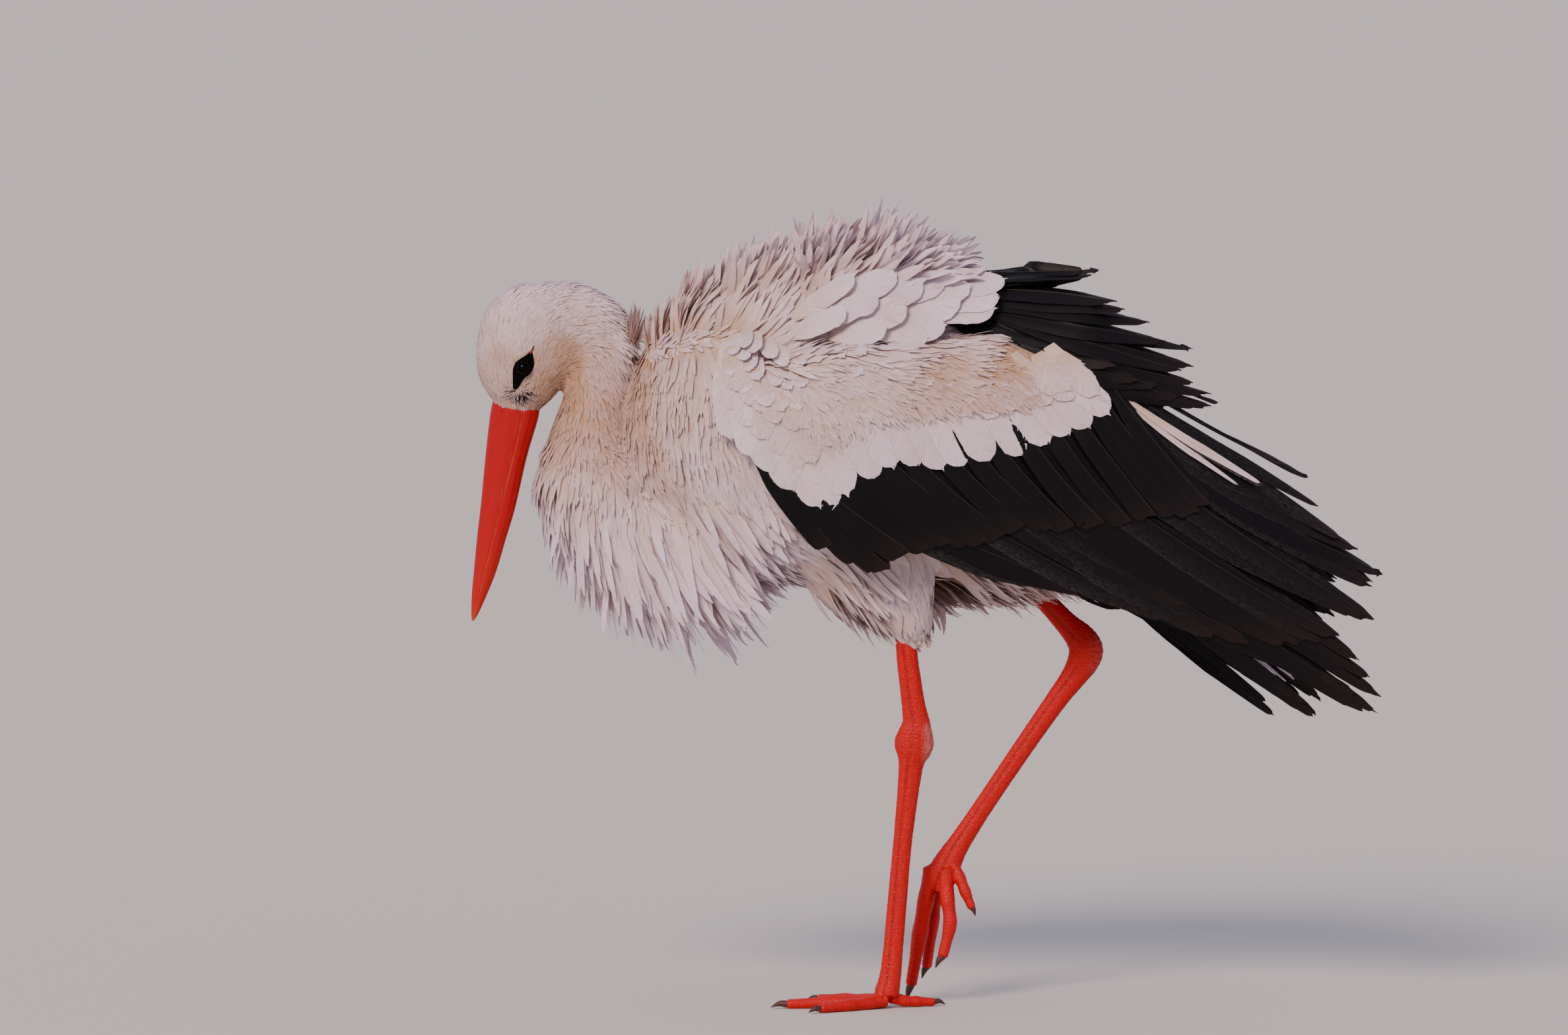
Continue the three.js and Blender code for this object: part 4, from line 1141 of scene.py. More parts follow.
def wet_eye():
    """A stork's eye under its clear wet cornea: a black pupil in an iris of very dark brown."""
    finish = Finish("eye, wet cornea over a dark iris", Roughness=0.12, IOR=1.376, Specular_IOR_Level=0.12)
    off, *_ = finish.carried("horn")
    stops = [(0.0, "#010101"), (0.4, "#010101"), (0.47, "#0c0706"), (0.8, "#060404")]
    iris = finish.add("ValToRGB", {"ramp": [(at, linear(tone)) for at, tone in stops]}, Fac=off)
    return finish.wire(Base_Color=iris.outputs[0])


def edge_from(centre, outline, turns):
    """How far an outline lies from a centre, at each turn."""
    outline = np.asarray(outline, float) - centre
    ends = np.roll(outline, -1, axis=0)
    way = np.stack([np.cos(turns), np.sin(turns)], -1)[:, None]
    side = ends - outline
    cross = way[..., 0] * side[None, :, 1] - way[..., 1] * side[None, :, 0]
    cross = np.where(np.abs(cross) < 1e-9, 1e-9, cross)
    t = (outline[None, :, 0] * side[None, :, 1] - outline[None, :, 1] * side[None, :, 0]) / cross
    s = (outline[None, :, 0] * way[..., 1] - outline[None, :, 1] * way[..., 0]) / cross
    good = (t > 0) & (s >= -1e-6) & (s <= 1 + 1e-6)
    return np.where(good, t, 1e9).min(1)


# The eye: the ball's radius, how wide the lids stand open, where their roll ends, how far the ball's
# middle lies in from EYE, and how high the lids' roll stands over it.
EYEBALL, LIDS_OPEN, LID_ROLL, EYE_DEPTH, ROLL_HEIGHT = 7.4, 6.8, 7.3, 0.6, 3.7


def eyeball(side, sides=48, rings=25):
    """A ball with its bulging cornea outwards, and how far each point lies from the pupil's middle."""
    turn = np.linspace(0, 2 * np.pi, sides, endpoint=False)
    tilt = np.linspace(0.02, np.pi - 0.02, rings)
    ring = np.stack([
        np.sin(tilt)[:, None] * np.cos(turn),
        side * np.cos(tilt)[:, None] * np.ones(sides),
        np.sin(tilt)[:, None] * np.sin(turn),
    ], -1)
    bulge = 1 + 0.05 * bell(tilt, 0.5)[:, None, None]
    ring = ring * EYEBALL * bulge + (EYE * (1, side, 1) - (0, side * EYE_DEPTH, 0))
    if side > 0:
        ring = ring[:, ::-1]
    off = np.concatenate([np.repeat(tilt / np.pi * 2, sides), [0, 2]])
    return closed_tube(ring, ring[0].mean(0), ring[-1].mean(0)), off


def eyelids(skin, side, rim, turns):
    """The lids roll over the ball, then the bare skin runs down under the feathers' edge."""
    shares = np.array([0, 0.02, 0.06, 0.12, 0.2, 0.32, 0.46, 0.62, 0.8, 1.0])
    away = LIDS_OPEN + (rim[None] - LIDS_OPEN) * shares[:, None]
    wrinkle = 0.16 * np.sin(turns * 22 + 3 * np.sin(turns * 3))[None]
    x, z = EYE[0] + np.cos(turns) * away, EYE[2] + np.sin(turns) * away
    hits = skin.seen_from(side, np.stack([x, z], -1).reshape(-1, 2).tolist(), 80)
    face = np.array([abs(hit[1]) if hit else 20.0 for hit in hits]).reshape(away.shape) + 1.3
    middle = EYE[1] - EYE_DEPTH
    on_ball = middle + np.sqrt(np.maximum((EYEBALL + 0.25) ** 2 - away**2, 0))
    roll_top = middle + ROLL_HEIGHT
    t = np.clip((away - LID_ROLL) / np.maximum(rim[None] - LID_ROLL, 0.6), 0, 1)
    fall = t * t * (3 - 2 * t)
    depth = np.where(away < LID_ROLL, np.maximum(on_ball, roll_top - 0.4 * (LID_ROLL - away)), roll_top)
    depth = depth * (1 - fall) + face * fall + wrinkle * (1 - t) * (away > LIDS_OPEN + 0.3)
    outer = np.stack([x, side * depth, z], -1)
    ring = np.concatenate([outer, (outer - (0, side * 2.2, 0))[::-1]], 0)
    index = np.arange(ring.shape[0] * len(turns)).reshape(-1, len(turns))
    after, nxt = np.roll(index, -1, axis=1), np.roll(index, -1, axis=0)
    quads = np.stack([index, after, np.roll(after, -1, axis=0), nxt], -1).reshape(-1, 4)
    return ring.reshape(-1, 3), quads[:, ::-1] if side < 0 else quads


def make_eyes(skin):
    black, wet = bare_face(), wet_eye()
    turns = np.linspace(0, 2 * np.pi, 72, endpoint=False)
    rim = edge_from(EYE[[0, 2]], EYE_PATCH, turns) + 0.5
    rim = np.convolve(np.concatenate([rim[-1:], rim, rim[:1]]), [0.2, 0.6, 0.2], "valid")
    for side, name in ((-1, "left"), (1, "right")):
        ball, off = eyeball(side)
        eye = add_mesh("eyeball_" + name, *ball, [wet])
        paint(eye.data, "horn", np.stack([off, off, off, off], -1))
        place(eye, "eye", "eye_" + name)
        points, quads = eyelids(skin, side, rim, turns)
        place(add_mesh("eyelids_" + name, points, quads, [], [black]), "eye")


def bill_collar():
    """Bare dark skin that edges the feathers at the bill's base, and the chin's bare patch."""
    stations = [
        [-304.2, 0, 499.4, 17.4, 11],
        [-304.4, 0, 498.6, 18.4, 12],
        [-304.6, 0, 497.4, 18.7, 12.1],
        [-304.7, 0, 496.4, 17.6, 11.2],
    ]
    collar = add_mesh("bare_skin_at_bill", *loft(stations, 48, 12, 0.05), [bare_face()])
    place(collar, "eye")


# Between the eye and the bill: the middle of the lore, where its fringe fans out from, and for each
# sort of bristle its name, slot, count on a side, spread and cream tint.
LORE, LORE_FAN = (-302.5, 509.0), (-303.2, 512.5)
BRISTLES = [
    ("bristles_dark", "black_feather", 120, (6, 4.2), 0.0),
    ("bristles_pale", "white_feather", 70, (7, 5), 0.4),
]


def lore_bristles(skin, white, black):
    """Short dark bristles that fan out between the eye and the bill, and the frayed edge there."""
    for name, slot, count, spread, tone in BRISTLES:
        plumage = Plumage()
        for side in (-1, 1):
            flat = LORE + rng.normal(0, 1, (count, 2)) * (np.array(spread) * 0.55)
            roots = skin.roots_on(side, flat)
            lie = lie_at(roots)
            fan = np.arctan2(roots[:, 2] - LORE_FAN[1], roots[:, 0] - LORE_FAN[0])
            lie[:, WAY] = fan + rng.normal(0, 0.35, len(roots))
            lie[:, LENGTH] = rng.uniform(4.5, 9, len(roots))
            lie[:, WIDTH] = 0.42
            lie[:, STAND] = rng.uniform(8, 22, len(roots))
            lie[:, CREAM], lie[:, RAGGED] = tone, 0
            feathers_on(skin, plumage, roots, lie, 5, "pointed", 0.16)
        plumage.finish(name, black if slot == "black_feather" else white, slot)


def bill_fringe(skin, white, count=170):
    """Short feathers that hang over the bill's base from the forehead and the lores."""
    plumage = Plumage()
    for side in (-1, 1):
        share = rng.random(count)
        flat = np.stack([-327 + 29 * share, 500.5 - 3 * share + rng.uniform(-0.4, 2.4, count)], -1)
        roots = skin.roots_on(side, flat)
        lie = lie_at(roots)
        lie[:, WAY] = np.radians(-96) + rng.normal(0, 0.3, len(roots))
        lie[:, LENGTH] = rng.uniform(3, 7, len(roots))
        lie[:, WIDTH] = 0.9
        lie[:, STAND] = rng.uniform(4, 12, len(roots))
        lie[:, CREAM] = rng.uniform(0.3, 0.8, len(roots))
        lie[:, RAGGED] = 0
        feathers_on(skin, plumage, roots, lie, 5, "fur", 0.16)
    plumage.finish("feathers_over_bill_base", white, "white_feather")


def eye_corner(skin, black, rings=7):
    """The red bare spot at the eye's rear corner and the thin dark line that runs on from it."""
    red = Finish("bare red skin", Roughness=0.4, Base_Color=linear("#8c0a10")).material
    shares = np.linspace(0, 1, rings)
    for name, material, x, z, length, width, lift in (
        ("eye_corner_red", red, -294.2, 542.6, 3.4, 1.7, 1.5),
        ("eye_corner_line", black, -293.6, 543.4, 7, 0.9, 1.3),
    ):
        plumage = Plumage()
        for side in (-1, 1):
            roots = skin.roots_on(side, [(x, z)])
            lie = lie_at(roots)
            lie[:, WAY:SPACING] = math.radians(66), length, width, 0, 0
            spine, up, places = comb(skin, roots, lie, shares, lift)
            half = outline(shares, "fur")[None] * width / 2
            plumage.add(spine, up, half, VANE_MEDIUM, 0.5, 0.1, 0.0, places)
        plumage.finish(name, material, "eye")


# ---------- Wings ----------
# A row's roots and tips lie along two lines of the side view. above: how far its roots and its tips
# lie over the wing's inner face. bow: how far each feather curves, as a share of its length. grey: how
# silvery its outer webs are, partly their own bloom and partly a painted sheen. stray: how far its tips
# stray. far_forward: how much further forward the right wing's tips lie. A white row has its feathers'
# length, their ways in degrees, and tuck: how much deeper its roots are tucked in under the feathers before
# them.
FLIGHT_ROWS = {
    "primaries": {
        "count": 8, "width": 22, "above": (0.6, 1.4), "bow": -0.035, "grey": 0.0,
        "stray": 1, "far_forward": 16,
        "roots": [(60, 398), (110, 415), (170, 430)],
        "tips": [(372, 270), (386, 254), (393, 240), (404, 248), (399, 266), (386, 284), (372, 296)],
    },
    "secondaries": {
        "count": 18, "width": 28, "above": (2.0, 3.4), "bow": 0.02, "grey": 1.0, "stray": 6,
        "roots": [(-20, 412), (40, 432), (90, 452), (135, 468), (170, 500), (178, 512)],
        "tips": [
            (150, 353), (196, 341), (240, 328), (290, 306), (335, 304), (368, 306), (389, 322), (389, 344),
            (403, 361), (352, 402),
        ],
    },
    "greater_coverts": {
        "count": 18, "width": 28, "kind": "blunt", "ragged": 0.6, "above": (4.4, 5.4), "bow": 0.03,
        "grey": 0.06,
        "roots": [
            (-108, 466), (-96, 470), (-60, 474), (-10, 474), (50, 480), (110, 488), (160, 500), (182, 508),
        ],
        "tips": [
            (-44, 384), (-2, 366), (36, 386), (64, 390), (93, 395), (125, 399), (163, 397), (202, 404),
            (240, 408), (262, 414),
        ],
    },
}
SCAPULAR_ROWS = {
    "lower_scapulars": {
        "count": 9, "width": 23, "stray": 3, "above": (-10, 7.6), "bow": 0.04, "grey": 0.1,
        "roots": [(66, 562), (62, 570), (58, 578), (54, 588)],
        "tips": [(184, 528), (214, 516), (236, 501), (266, 497), (254, 508), (238, 521)],
    },
    "upper_scapulars": {
        "count": 10, "width": 24, "stray": 3, "above": (-10, 9.4), "bow": -0.02, "grey": 0.04,
        "roots": [(56, 572), (50, 584), (48, 594), (48, 604)],
        "tips": [(232, 522), (250, 531), (222, 548), (196, 566), (184, 580), (168, 602), (164, 604)],
    },
}
WHITE_ROWS = {
    "median_coverts": {
        "count": 19, "width": 27, "length": 66, "above": (5.4, 6.8), "bow": 0.02,
        "tips": [
            (-124, 470), (-104, 452), (-82, 431), (-62, 421), (-50, 413), (-34, 430), (-8, 441), (16, 452),
            (45, 446), (71, 452), (106, 459), (133, 468), (158, 478), (180, 488),
        ],
        "ways": [-84, -76, -72, -68, -62, -56, -50], "cream": 0.05,
    },
    "second_coverts": {
        "count": 17, "width": 23, "length": 46, "above": (6.2, 7.8), "bow": 0.02,
        "tips": [
            (-122, 492), (-104, 474), (-84, 456), (-60, 450), (-38, 470), (-8, 484), (30, 488), (70, 488),
            (104, 494), (140, 500), (170, 506),
        ],
        "ways": [-84, -78, -72, -66, -60, -54, -48], "cream": 0.24,
    },
    "third_coverts": {
        "count": 19, "width": 18, "length": 36, "above": (7.0, 8.8), "bow": 0.02,
        "tips": [
            (-118, 510), (-96, 490), (-70, 478), (-40, 486), (0, 497), (40, 500), (84, 500), (118, 504),
            (150, 510),
        ],
        "ways": [-80, -74, -66, -60, -52, -46], "cream": 0.38,
    },
    "fourth_coverts": {
        "count": 17, "width": 16, "length": 30, "above": (7.8, 9.6), "bow": 0.02,
        "tips": [
            (-126, 522), (-112, 506), (-90, 494), (-60, 497), (-20, 508), (24, 513), (62, 512), (96, 510),
        ],
        "ways": [-80, -74, -66, -56, -46], "cream": 0.16, "tuck": 8,
    },
    "fifth_coverts": {
        "count": 12, "width": 15, "length": 26, "above": (8.6, 10.2), "bow": 0.02,
        "tips": [(-122, 538), (-108, 524), (-88, 512), (-60, 512), (-26, 521), (6, 527)],
        "ways": [-78, -70, -60, -46], "cream": 0.12, "tuck": 18,
    },
    "sixth_coverts": {
        "count": 8, "width": 14, "length": 24, "above": (8.4, 9.6), "bow": 0.02,
        "tips": [(-112, 546), (-98, 534), (-76, 528), (-48, 532), (-22, 538)],
        "ways": [-74, -60, -44], "cream": 0.12, "tuck": 22,
    },
}
# Single feathers: root, tip, width, height over the wing's inner face, greyness or cream. A black one's
# greyness is partly its own silvery bloom and partly a painted sheen.
ODD_BLACK = [
    ((214, 508), (343, 436), 9, 6.6, 0.1), ((206, 512), (326, 446), 7, 6.0, 0.2),
    ((60, 602), (158, 600), 12, 9.6, 0), ((214, 518), (268, 496), 5, 7.4, 0.1),
]
ODD_BLACK_BLADES = [
    ((206, 504), (352, 414), 13, 5.8, 0.1), ((214, 492), (372, 388), 18, 5.4, 0.15),
    ((196, 500), (306, 430), 10, 7.0, 0.6), ((224, 337), (352, 243), 13, 0.4, 0),
    ((222, 343), (345, 254), 11, 0.2, 0), ((232, 326), (333, 258), 10, 0.2, 0),
]
ODD_WHITE = [((194, 502), (302, 433), 8, 8.4, 0.3), ((196, 497), (284, 432), 5, 8.0, 0.1)]
# The mantle's broad last feathers: root, tip, width and height over the wing's inner face.
MANTLE_LOBES = [
    ((22, 596), (95, 593), 32, 10.6), ((20, 586), (90, 580), 31, 10.8), ((12, 578), (86, 571), 27, 11.0),
    ((6, 592), (78, 605), 28, 11.2), ((-8, 584), (66, 588), 32, 11.8), ((-20, 574), (58, 577), 31, 12.2),
    ((-30, 568), (44, 558), 30, 11.6), ((-30, 588), (42, 592), 29, 12.6), ((-46, 576), (24, 590), 28, 13.2),
    ((-52, 568), (12, 572), 28, 12.8), ((-60, 580), (2, 598), 25, 13.6), ((-70, 566), (-12, 580), 23, 13.4),
    ((-10, 560), (30, 549), 22, 10.8), ((-50, 560), (-4, 556), 23, 12.2), ((-20, 598), (50, 612), 24, 13),
    ((-84, 560), (-34, 570), 20, 12.6), ((-80, 576), (-28, 596), 20, 13.4),
]
# A flight feather's narrow and broad web, as shares of its width, and how far a white one's edges curl down.
WEBS = (0.42, 0.58)
LOBE_CAMBER = 0.04
# The tail: white feathers below the folded wings. root_spread and tip_spread: how far the outermost
# stand aside. shorter, root_drop and tip_drop: how much shorter and lower these are.
TAIL = {
    "root": (176, 410), "tip": (338, 277), "count": 12, "width": 30.0, "root_spread": 14,
    "tip_spread": 42 * 0.8, "shorter": 26, "root_drop": 3, "tip_drop": 5,
}


def lobe_shares(rings):
    """Shares along a vane, closer together towards its round tip."""
    return 1 - (1 - np.linspace(0, 1, rings)) ** 1.7


def lobe(shares, width, length, ragged=0.3):
    """The two half widths of a vane with a round tip and a finely fringed rim."""
    width, length = (np.reshape(value, (-1, 1)) for value in (width, length))
    start = 1 - np.clip(0.6 * width / length, 0.1, 0.6)
    round_tip = np.sqrt(1 - np.clip((shares[None] - start) / (1 - start), 0, 0.9995) ** 2)
    half = width / 2 * round_tip * np.interp(shares, [0, 0.35, 1], [0.45, 1, 1])
    outer = np.clip((shares - 0.45) / 0.3, 0, 1)[None, :, None]
    fringe = rng.normal(0, ragged, (len(width), len(shares), 2)) * outer
    return np.maximum(half[..., None] + fringe * (round_tip > 0.2)[..., None], 0.15)


def roof_feathers(roots, tips, above, bow, share):
    """Spines and ways up for feathers lying on the left wing, from roots to tips in the side view."""
    way = tips - roots
    beside = np.stack([-way[:, 1], way[:, 0]], -1)
    sag = -4 * np.asarray(bow).reshape(-1, 1) * share * (1 - share)
    spots = roots[:, None] + way[:, None] * share[None, :, None] + beside[:, None] * sag[..., None]
    spots[..., 1] += VIEW_SLOPE * reach(spots[..., 0], spots[..., 1])
    low, high = (np.reshape(value, (-1, 1)) for value in above)
    return on_wing(spots, low + (high - low) * share[None] ** 0.7 * np.ones((len(roots), 1)))


def frayed(count, rings, columns, splits, depth):
    """Where barbs part from each other: notches in the vane's edges, drawn back along the shaft."""
    shift = np.zeros((count, rings, len(columns)))
    edge = np.clip((np.abs(columns) - 0.3) / 0.7, 0, 1)
    for _ in range(splits):
        ring = rng.integers(rings // 3, rings - 1, count)
        side = np.where(rng.random(count) < 0.5, 1, -1)
        hit = (np.arange(rings)[None] == ring[:, None])[..., None] & (columns * side[:, None, None] > 0)
        shift -= hit * edge * rng.uniform(0.5, 1, (count, 1, 1)) * depth
    return shift


def add_row(plumage, spine, up, width, webs, kind, thick, cream, places, ragged, splits=3):
    """Large feathers with a shaft, notches and ragged tips."""
    count, rings = spine.shape[:2]
    share = lobe_shares(rings)
    shape = outline(share, kind)[None] * np.reshape(width, (-1, 1))
    half = np.stack([shape * webs[0], shape * webs[1]], -1)
    columns = np.asarray(VANE_LARGE, float)
    shift = frayed(count, rings, columns, splits, 5.0)
    tip = np.clip((share - 0.93) / 0.07, 0, 1)[None, :, None]
    shift += rng.normal(0, 1, (count, 1, len(columns))) * tip * ragged
    shift -= tip**2 * np.abs(columns) ** 2 * np.reshape(width, (-1, 1, 1)) * 0.16
    plumage.add(spine, up, half, columns, thick, 0.16, cream, places, patch=0.08, rachis=0.5, shift=shift)


def mirror(spine, up):
    """Feathers of the left wing as the right one's."""
    return far_side(spine), far_side(up) - far_side(np.zeros(3))


def atlas(first, count, across=10):
    """Each large feather's own patch of the bake map."""
    number = first + np.arange(count)
    return np.stack([number % across + 0.5, number // across + 0.5], -1) / across


def silver(count, rings, columns, amount):
    """How silvery the outer webs are, partly their own bloom and partly a painted sheen: most on the part
    that lies bare, least near the shaft and the tip.
    """
    across = np.concatenate([columns, columns[-2:0:-1]])
    share = lobe_shares(rings)
    bare_part = np.interp(share, [0, 0.35, 0.7, 0.9, 1], [0.3, 1, 0.8, 0.3, 0.05])
    web = np.where(across < 0, 1.0, 0.3) * np.abs(across) ** 1.3
    lot = rng.uniform(0, 1, (count, 1, 1)) ** 1.5
    return amount * bare_part[None, :, None] * web[None, None] * lot


def black_row(plumage, row, side, first, rings=20):
    """One row of the large black feathers."""
    count = row["count"]
    share, shares = np.linspace(0, 1, count), lobe_shares(rings)
    roots = curve(row["roots"], share) + rng.normal(0, 1.5, (count, 2))
    tips = curve(row["tips"], share) + rng.normal(0, row.get("stray", 2.0), (count, 2))
    above = [value + 1.5 * share for value in row["above"]]
    spine, up = roof_feathers(roots, tips, above, rng.normal(row["bow"], 0.01, count), shares)
    spine = straightened(spine, shares, 0.82)
    webs = WEBS
    turn = rng.normal(-0.20, 0.05, count)
    if side > 0:
        spine, up = mirror(spine, up)
        webs, turn = webs[::-1], -turn
        spine[..., 0] -= row.get("far_forward", 0) * np.linspace(0, 1, rings)
    grey = silver(count, rings, np.array(VANE_LARGE), row["grey"])
    width = row["width"] * rng.uniform(0.9, 1.08, count)
    add_row(
        plumage, spine, roll(spine, up, turn), width, webs, row.get("kind", "worn"), 0.9, grey,
        atlas(first, count), row.get("ragged", 1.6),
    )
    return first + count


def straightened(spine, shares, begin):
    """Spines that run on straight from the share where they begin to, so that no tip hooks in."""
    knee, rear = (int(np.searchsorted(shares, value)) for value in (begin, begin - 0.2))
    way = (spine[:, knee] - spine[:, rear])[:, None] / (shares[knee] - shares[rear])
    spine[:, knee:] = spine[:, knee:knee + 1] + way * (shares[knee:] - shares[knee])[None, :, None]
    return spine


def odd_feathers(plumage, odd, side, first, kind, rings=16):
    """The feathers that stand apart from the rows."""
    roots, tips = (np.array([one[k] for one in odd], float) for k in (0, 1))
    width, height, tone = (np.array([one[k] for one in odd], float) for k in (2, 3, 4))
    count, shares = len(odd), lobe_shares(rings)
    spine, up = roof_feathers(roots, tips, (height - 4, height + 1.5), np.full(count, 0.02), shares)
    spine = straightened(spine, shares, 0.6)
    if side > 0:
        spine, up = mirror(spine, up)
    add_row(plumage, spine, up, width, (0.5, 0.5), kind, 0.8, tone, atlas(first, count), 0.6, 0)
    return first + count


def barb_tufts(plumage, spine, up, half, shares, cream, places, each=18, rings=4):
    """Thin tufts of barbs that run out over each vane from its shaft to a little beyond its rim."""
    count, length = len(spine), np.linalg.norm(spine[:, -1] - spine[:, 0], axis=1)
    ahead = unit(np.gradient(spine, axis=1))
    side = unit(np.cross(ahead, up))
    top = np.cross(side, ahead)
    start = (np.arange(each) // 2 + rng.random((count, each))) / (each / 2) * 0.84 + 0.06
    end = start + rng.uniform(0.14, 0.24, (count, each))
    hand = np.where(np.arange(each) % 2, 1, -1) * np.ones((count, 1))
    height = rng.uniform(0.25, 0.6, (count, each))
    who = np.arange(count)[:, None]
    tufts, ways = [], []
    for part in np.linspace(0, 1, rings):
        share = start + (end - start) * part
        ring = np.interp(share, shares, np.arange(len(shares)))
        low = np.minimum(ring.astype(int), len(shares) - 2)
        more = (ring - low)[..., None]
        at, out, rise, on = (
            v[who, low] * (1 - more) + v[who, low + 1] * more for v in (spine, side, top, ahead)
        )
        wide = half[who, low] * (1 - more) + half[who, low + 1] * more
        wide = np.where(hand < 0, wide[..., 0], wide[..., 1]) * part**0.8 * 1.04
        beyond = np.maximum(share - 1, 0) * length[:, None] * 0.5
        lift = height * (0.4 + 0.6 * part) - LOBE_CAMBER * wide
        tufts.append(at + out * (hand * wide)[..., None] + rise * lift[..., None] + on * beyond[..., None])
        ways.append(rise)
    tufts, ways = (np.stack(v, 2).reshape(count * each, rings, 3) for v in (tufts, ways))
    half = outline(np.linspace(0, 1, rings), "plume") * rng.uniform(0.6, 1.3, (count * each, 1))
    cream = np.repeat(np.broadcast_to(cream, count), each) + rng.normal(0, 0.03, count * each)
    plumage.add(tufts, ways, half, VANE_SMALL, 0.14, 0, np.clip(cream, 0, 1), np.repeat(places, each, 0))


def add_lobes(plumage, skin, roots, tips, width, above, cream, side, bow=0.02, rings=17):
    """Rounded white feathers on a wing, from roots to tips in the side view."""
    count = len(roots)
    shares = lobe_shares(rings)
    spine, up = roof_feathers(roots, tips, above, np.full(count, bow), shares)
    if side > 0:
        spine, up = mirror(spine, up)
    up = roll(spine, up, rng.normal(-0.06 * -side, 0.04, count))
    _, _, places = skin.nearest(spine[:, 0])
    half = lobe(shares, width, np.linalg.norm(tips - roots, axis=1))
    rim = np.clip((shares - 0.8) / 0.2, 0, 1)[None, :, None]
    shift = rng.normal(0, 0.35, (count, rings, len(VANE_ROUND))) * rim
    plumage.add(
        spine, up, half, VANE_ROUND, 0.3, LOBE_CAMBER, cream, places, patch=0.02, rachis=0.15, shift=shift,
    )
    barb_tufts(plumage, spine, up, half, shares, cream, places)


def white_row(plumage, skin, row, side):
    """One row of the rounded white coverts."""
    count = row["count"]
    share = np.linspace(0, 1, count)
    tips = curve(row["tips"], share) + rng.normal(0, 1.3, (count, 2))
    way = np.radians(np.interp(share, np.linspace(0, 1, len(row["ways"])), row["ways"]))
    way += rng.normal(0, 0.03, count)
    length = row["length"] * rng.uniform(0.9, 1.1, count)
    roots = tips - np.stack([np.cos(way), np.sin(way)], -1) * length[:, None]
    layer = rng.uniform(0, 1.2, count)
    above = [value + layer * k for value, k in zip(row["above"], (0.4, 1))]
    above[0] = above[0] - row.get("tuck", 0)
    width = row["width"] * rng.uniform(0.88, 1.12, count)
    cream = np.clip(row["cream"] + rng.normal(0, 0.04, count), 0, 1)
    add_lobes(plumage, skin, roots, tips, width, above, cream, side, row["bow"])


def mantle_lobes(plumage, skin, side):
    """The mantle's last feathers, broad and white, that lie over the black scapulars."""
    roots, tips = (np.array([one[k] for one in MANTLE_LOBES], float) for k in (0, 1))
    width, height = (np.array([one[k] for one in MANTLE_LOBES], float) for k in (2, 3))
    tuck = np.interp(roots[:, 0], [-90, 10], [30, 12])
    add_lobes(plumage, skin, roots, tips, width, (height - tuck, height), 0.05, side, 0.04)


def make_wing(side, skin, white, black):
    wing = "wing_left_" if side < 0 else "wing_right_"
    flight, scapulars, coverts = Plumage(), Plumage(), Plumage()
    first = 0
    for row in FLIGHT_ROWS.values():
        first = black_row(flight, row, side, first)
    first = odd_feathers(flight, ODD_BLACK, side, first, "club")
    odd_feathers(flight, ODD_BLACK_BLADES, side, first, "worn")
    flight.finish(wing + "flight_feathers", black, "black_feather", *(wing + name for name in FLIGHT_ROWS))
    first = 0
    for row in SCAPULAR_ROWS.values():
        first = black_row(scapulars, row, side, first)
    scapulars.finish(wing + "black_scapulars", black, "black_feather", wing + "scapulars")
    for row in WHITE_ROWS.values():
        white_row(coverts, skin, row, side)
    odd_feathers(coverts, ODD_WHITE, side, 0, "worn")
    mantle_lobes(coverts, skin, side)
    coverts.finish(wing + "white_coverts", white, "white_feather", wing + "coverts")


def make_tail(white, rings=14):
    count = TAIL["count"]
    aside = np.linspace(-1, 1, count)
    out = np.abs(aside)
    share = np.linspace(0, 1, rings)[None, :, None]
    start = np.stack([
        np.full(count, TAIL["root"][0]),
        aside * TAIL["root_spread"],
        TAIL["root"][1] - TAIL["root_drop"] * out,
    ], -1)
    end = np.stack([
        TAIL["tip"][0] - TAIL["shorter"] * aside**2,
        aside * TAIL["tip_spread"],
        TAIL["tip"][1] - TAIL["tip_drop"] * out + rng.normal(0, 2, count),
    ], -1)
    spine = start[:, None] + (end - start)[:, None] * share
    spine[..., 2] -= 6 * share[..., 0] * (1 - share[..., 0])
    up = np.broadcast_to(unit(np.array([0.62, 0, 0.78])), spine.shape).copy()
    up[..., 1] += aside[:, None] * 0.5
    plumage = Plumage()
    width = np.full(count, TAIL["width"])
    add_row(plumage, spine, unit(up), width, (0.5, 0.5), "round", 0.8, 0.08, atlas(0, count), 2.0)
    plumage.finish("tail_feathers", white, "white_feather", "tail")


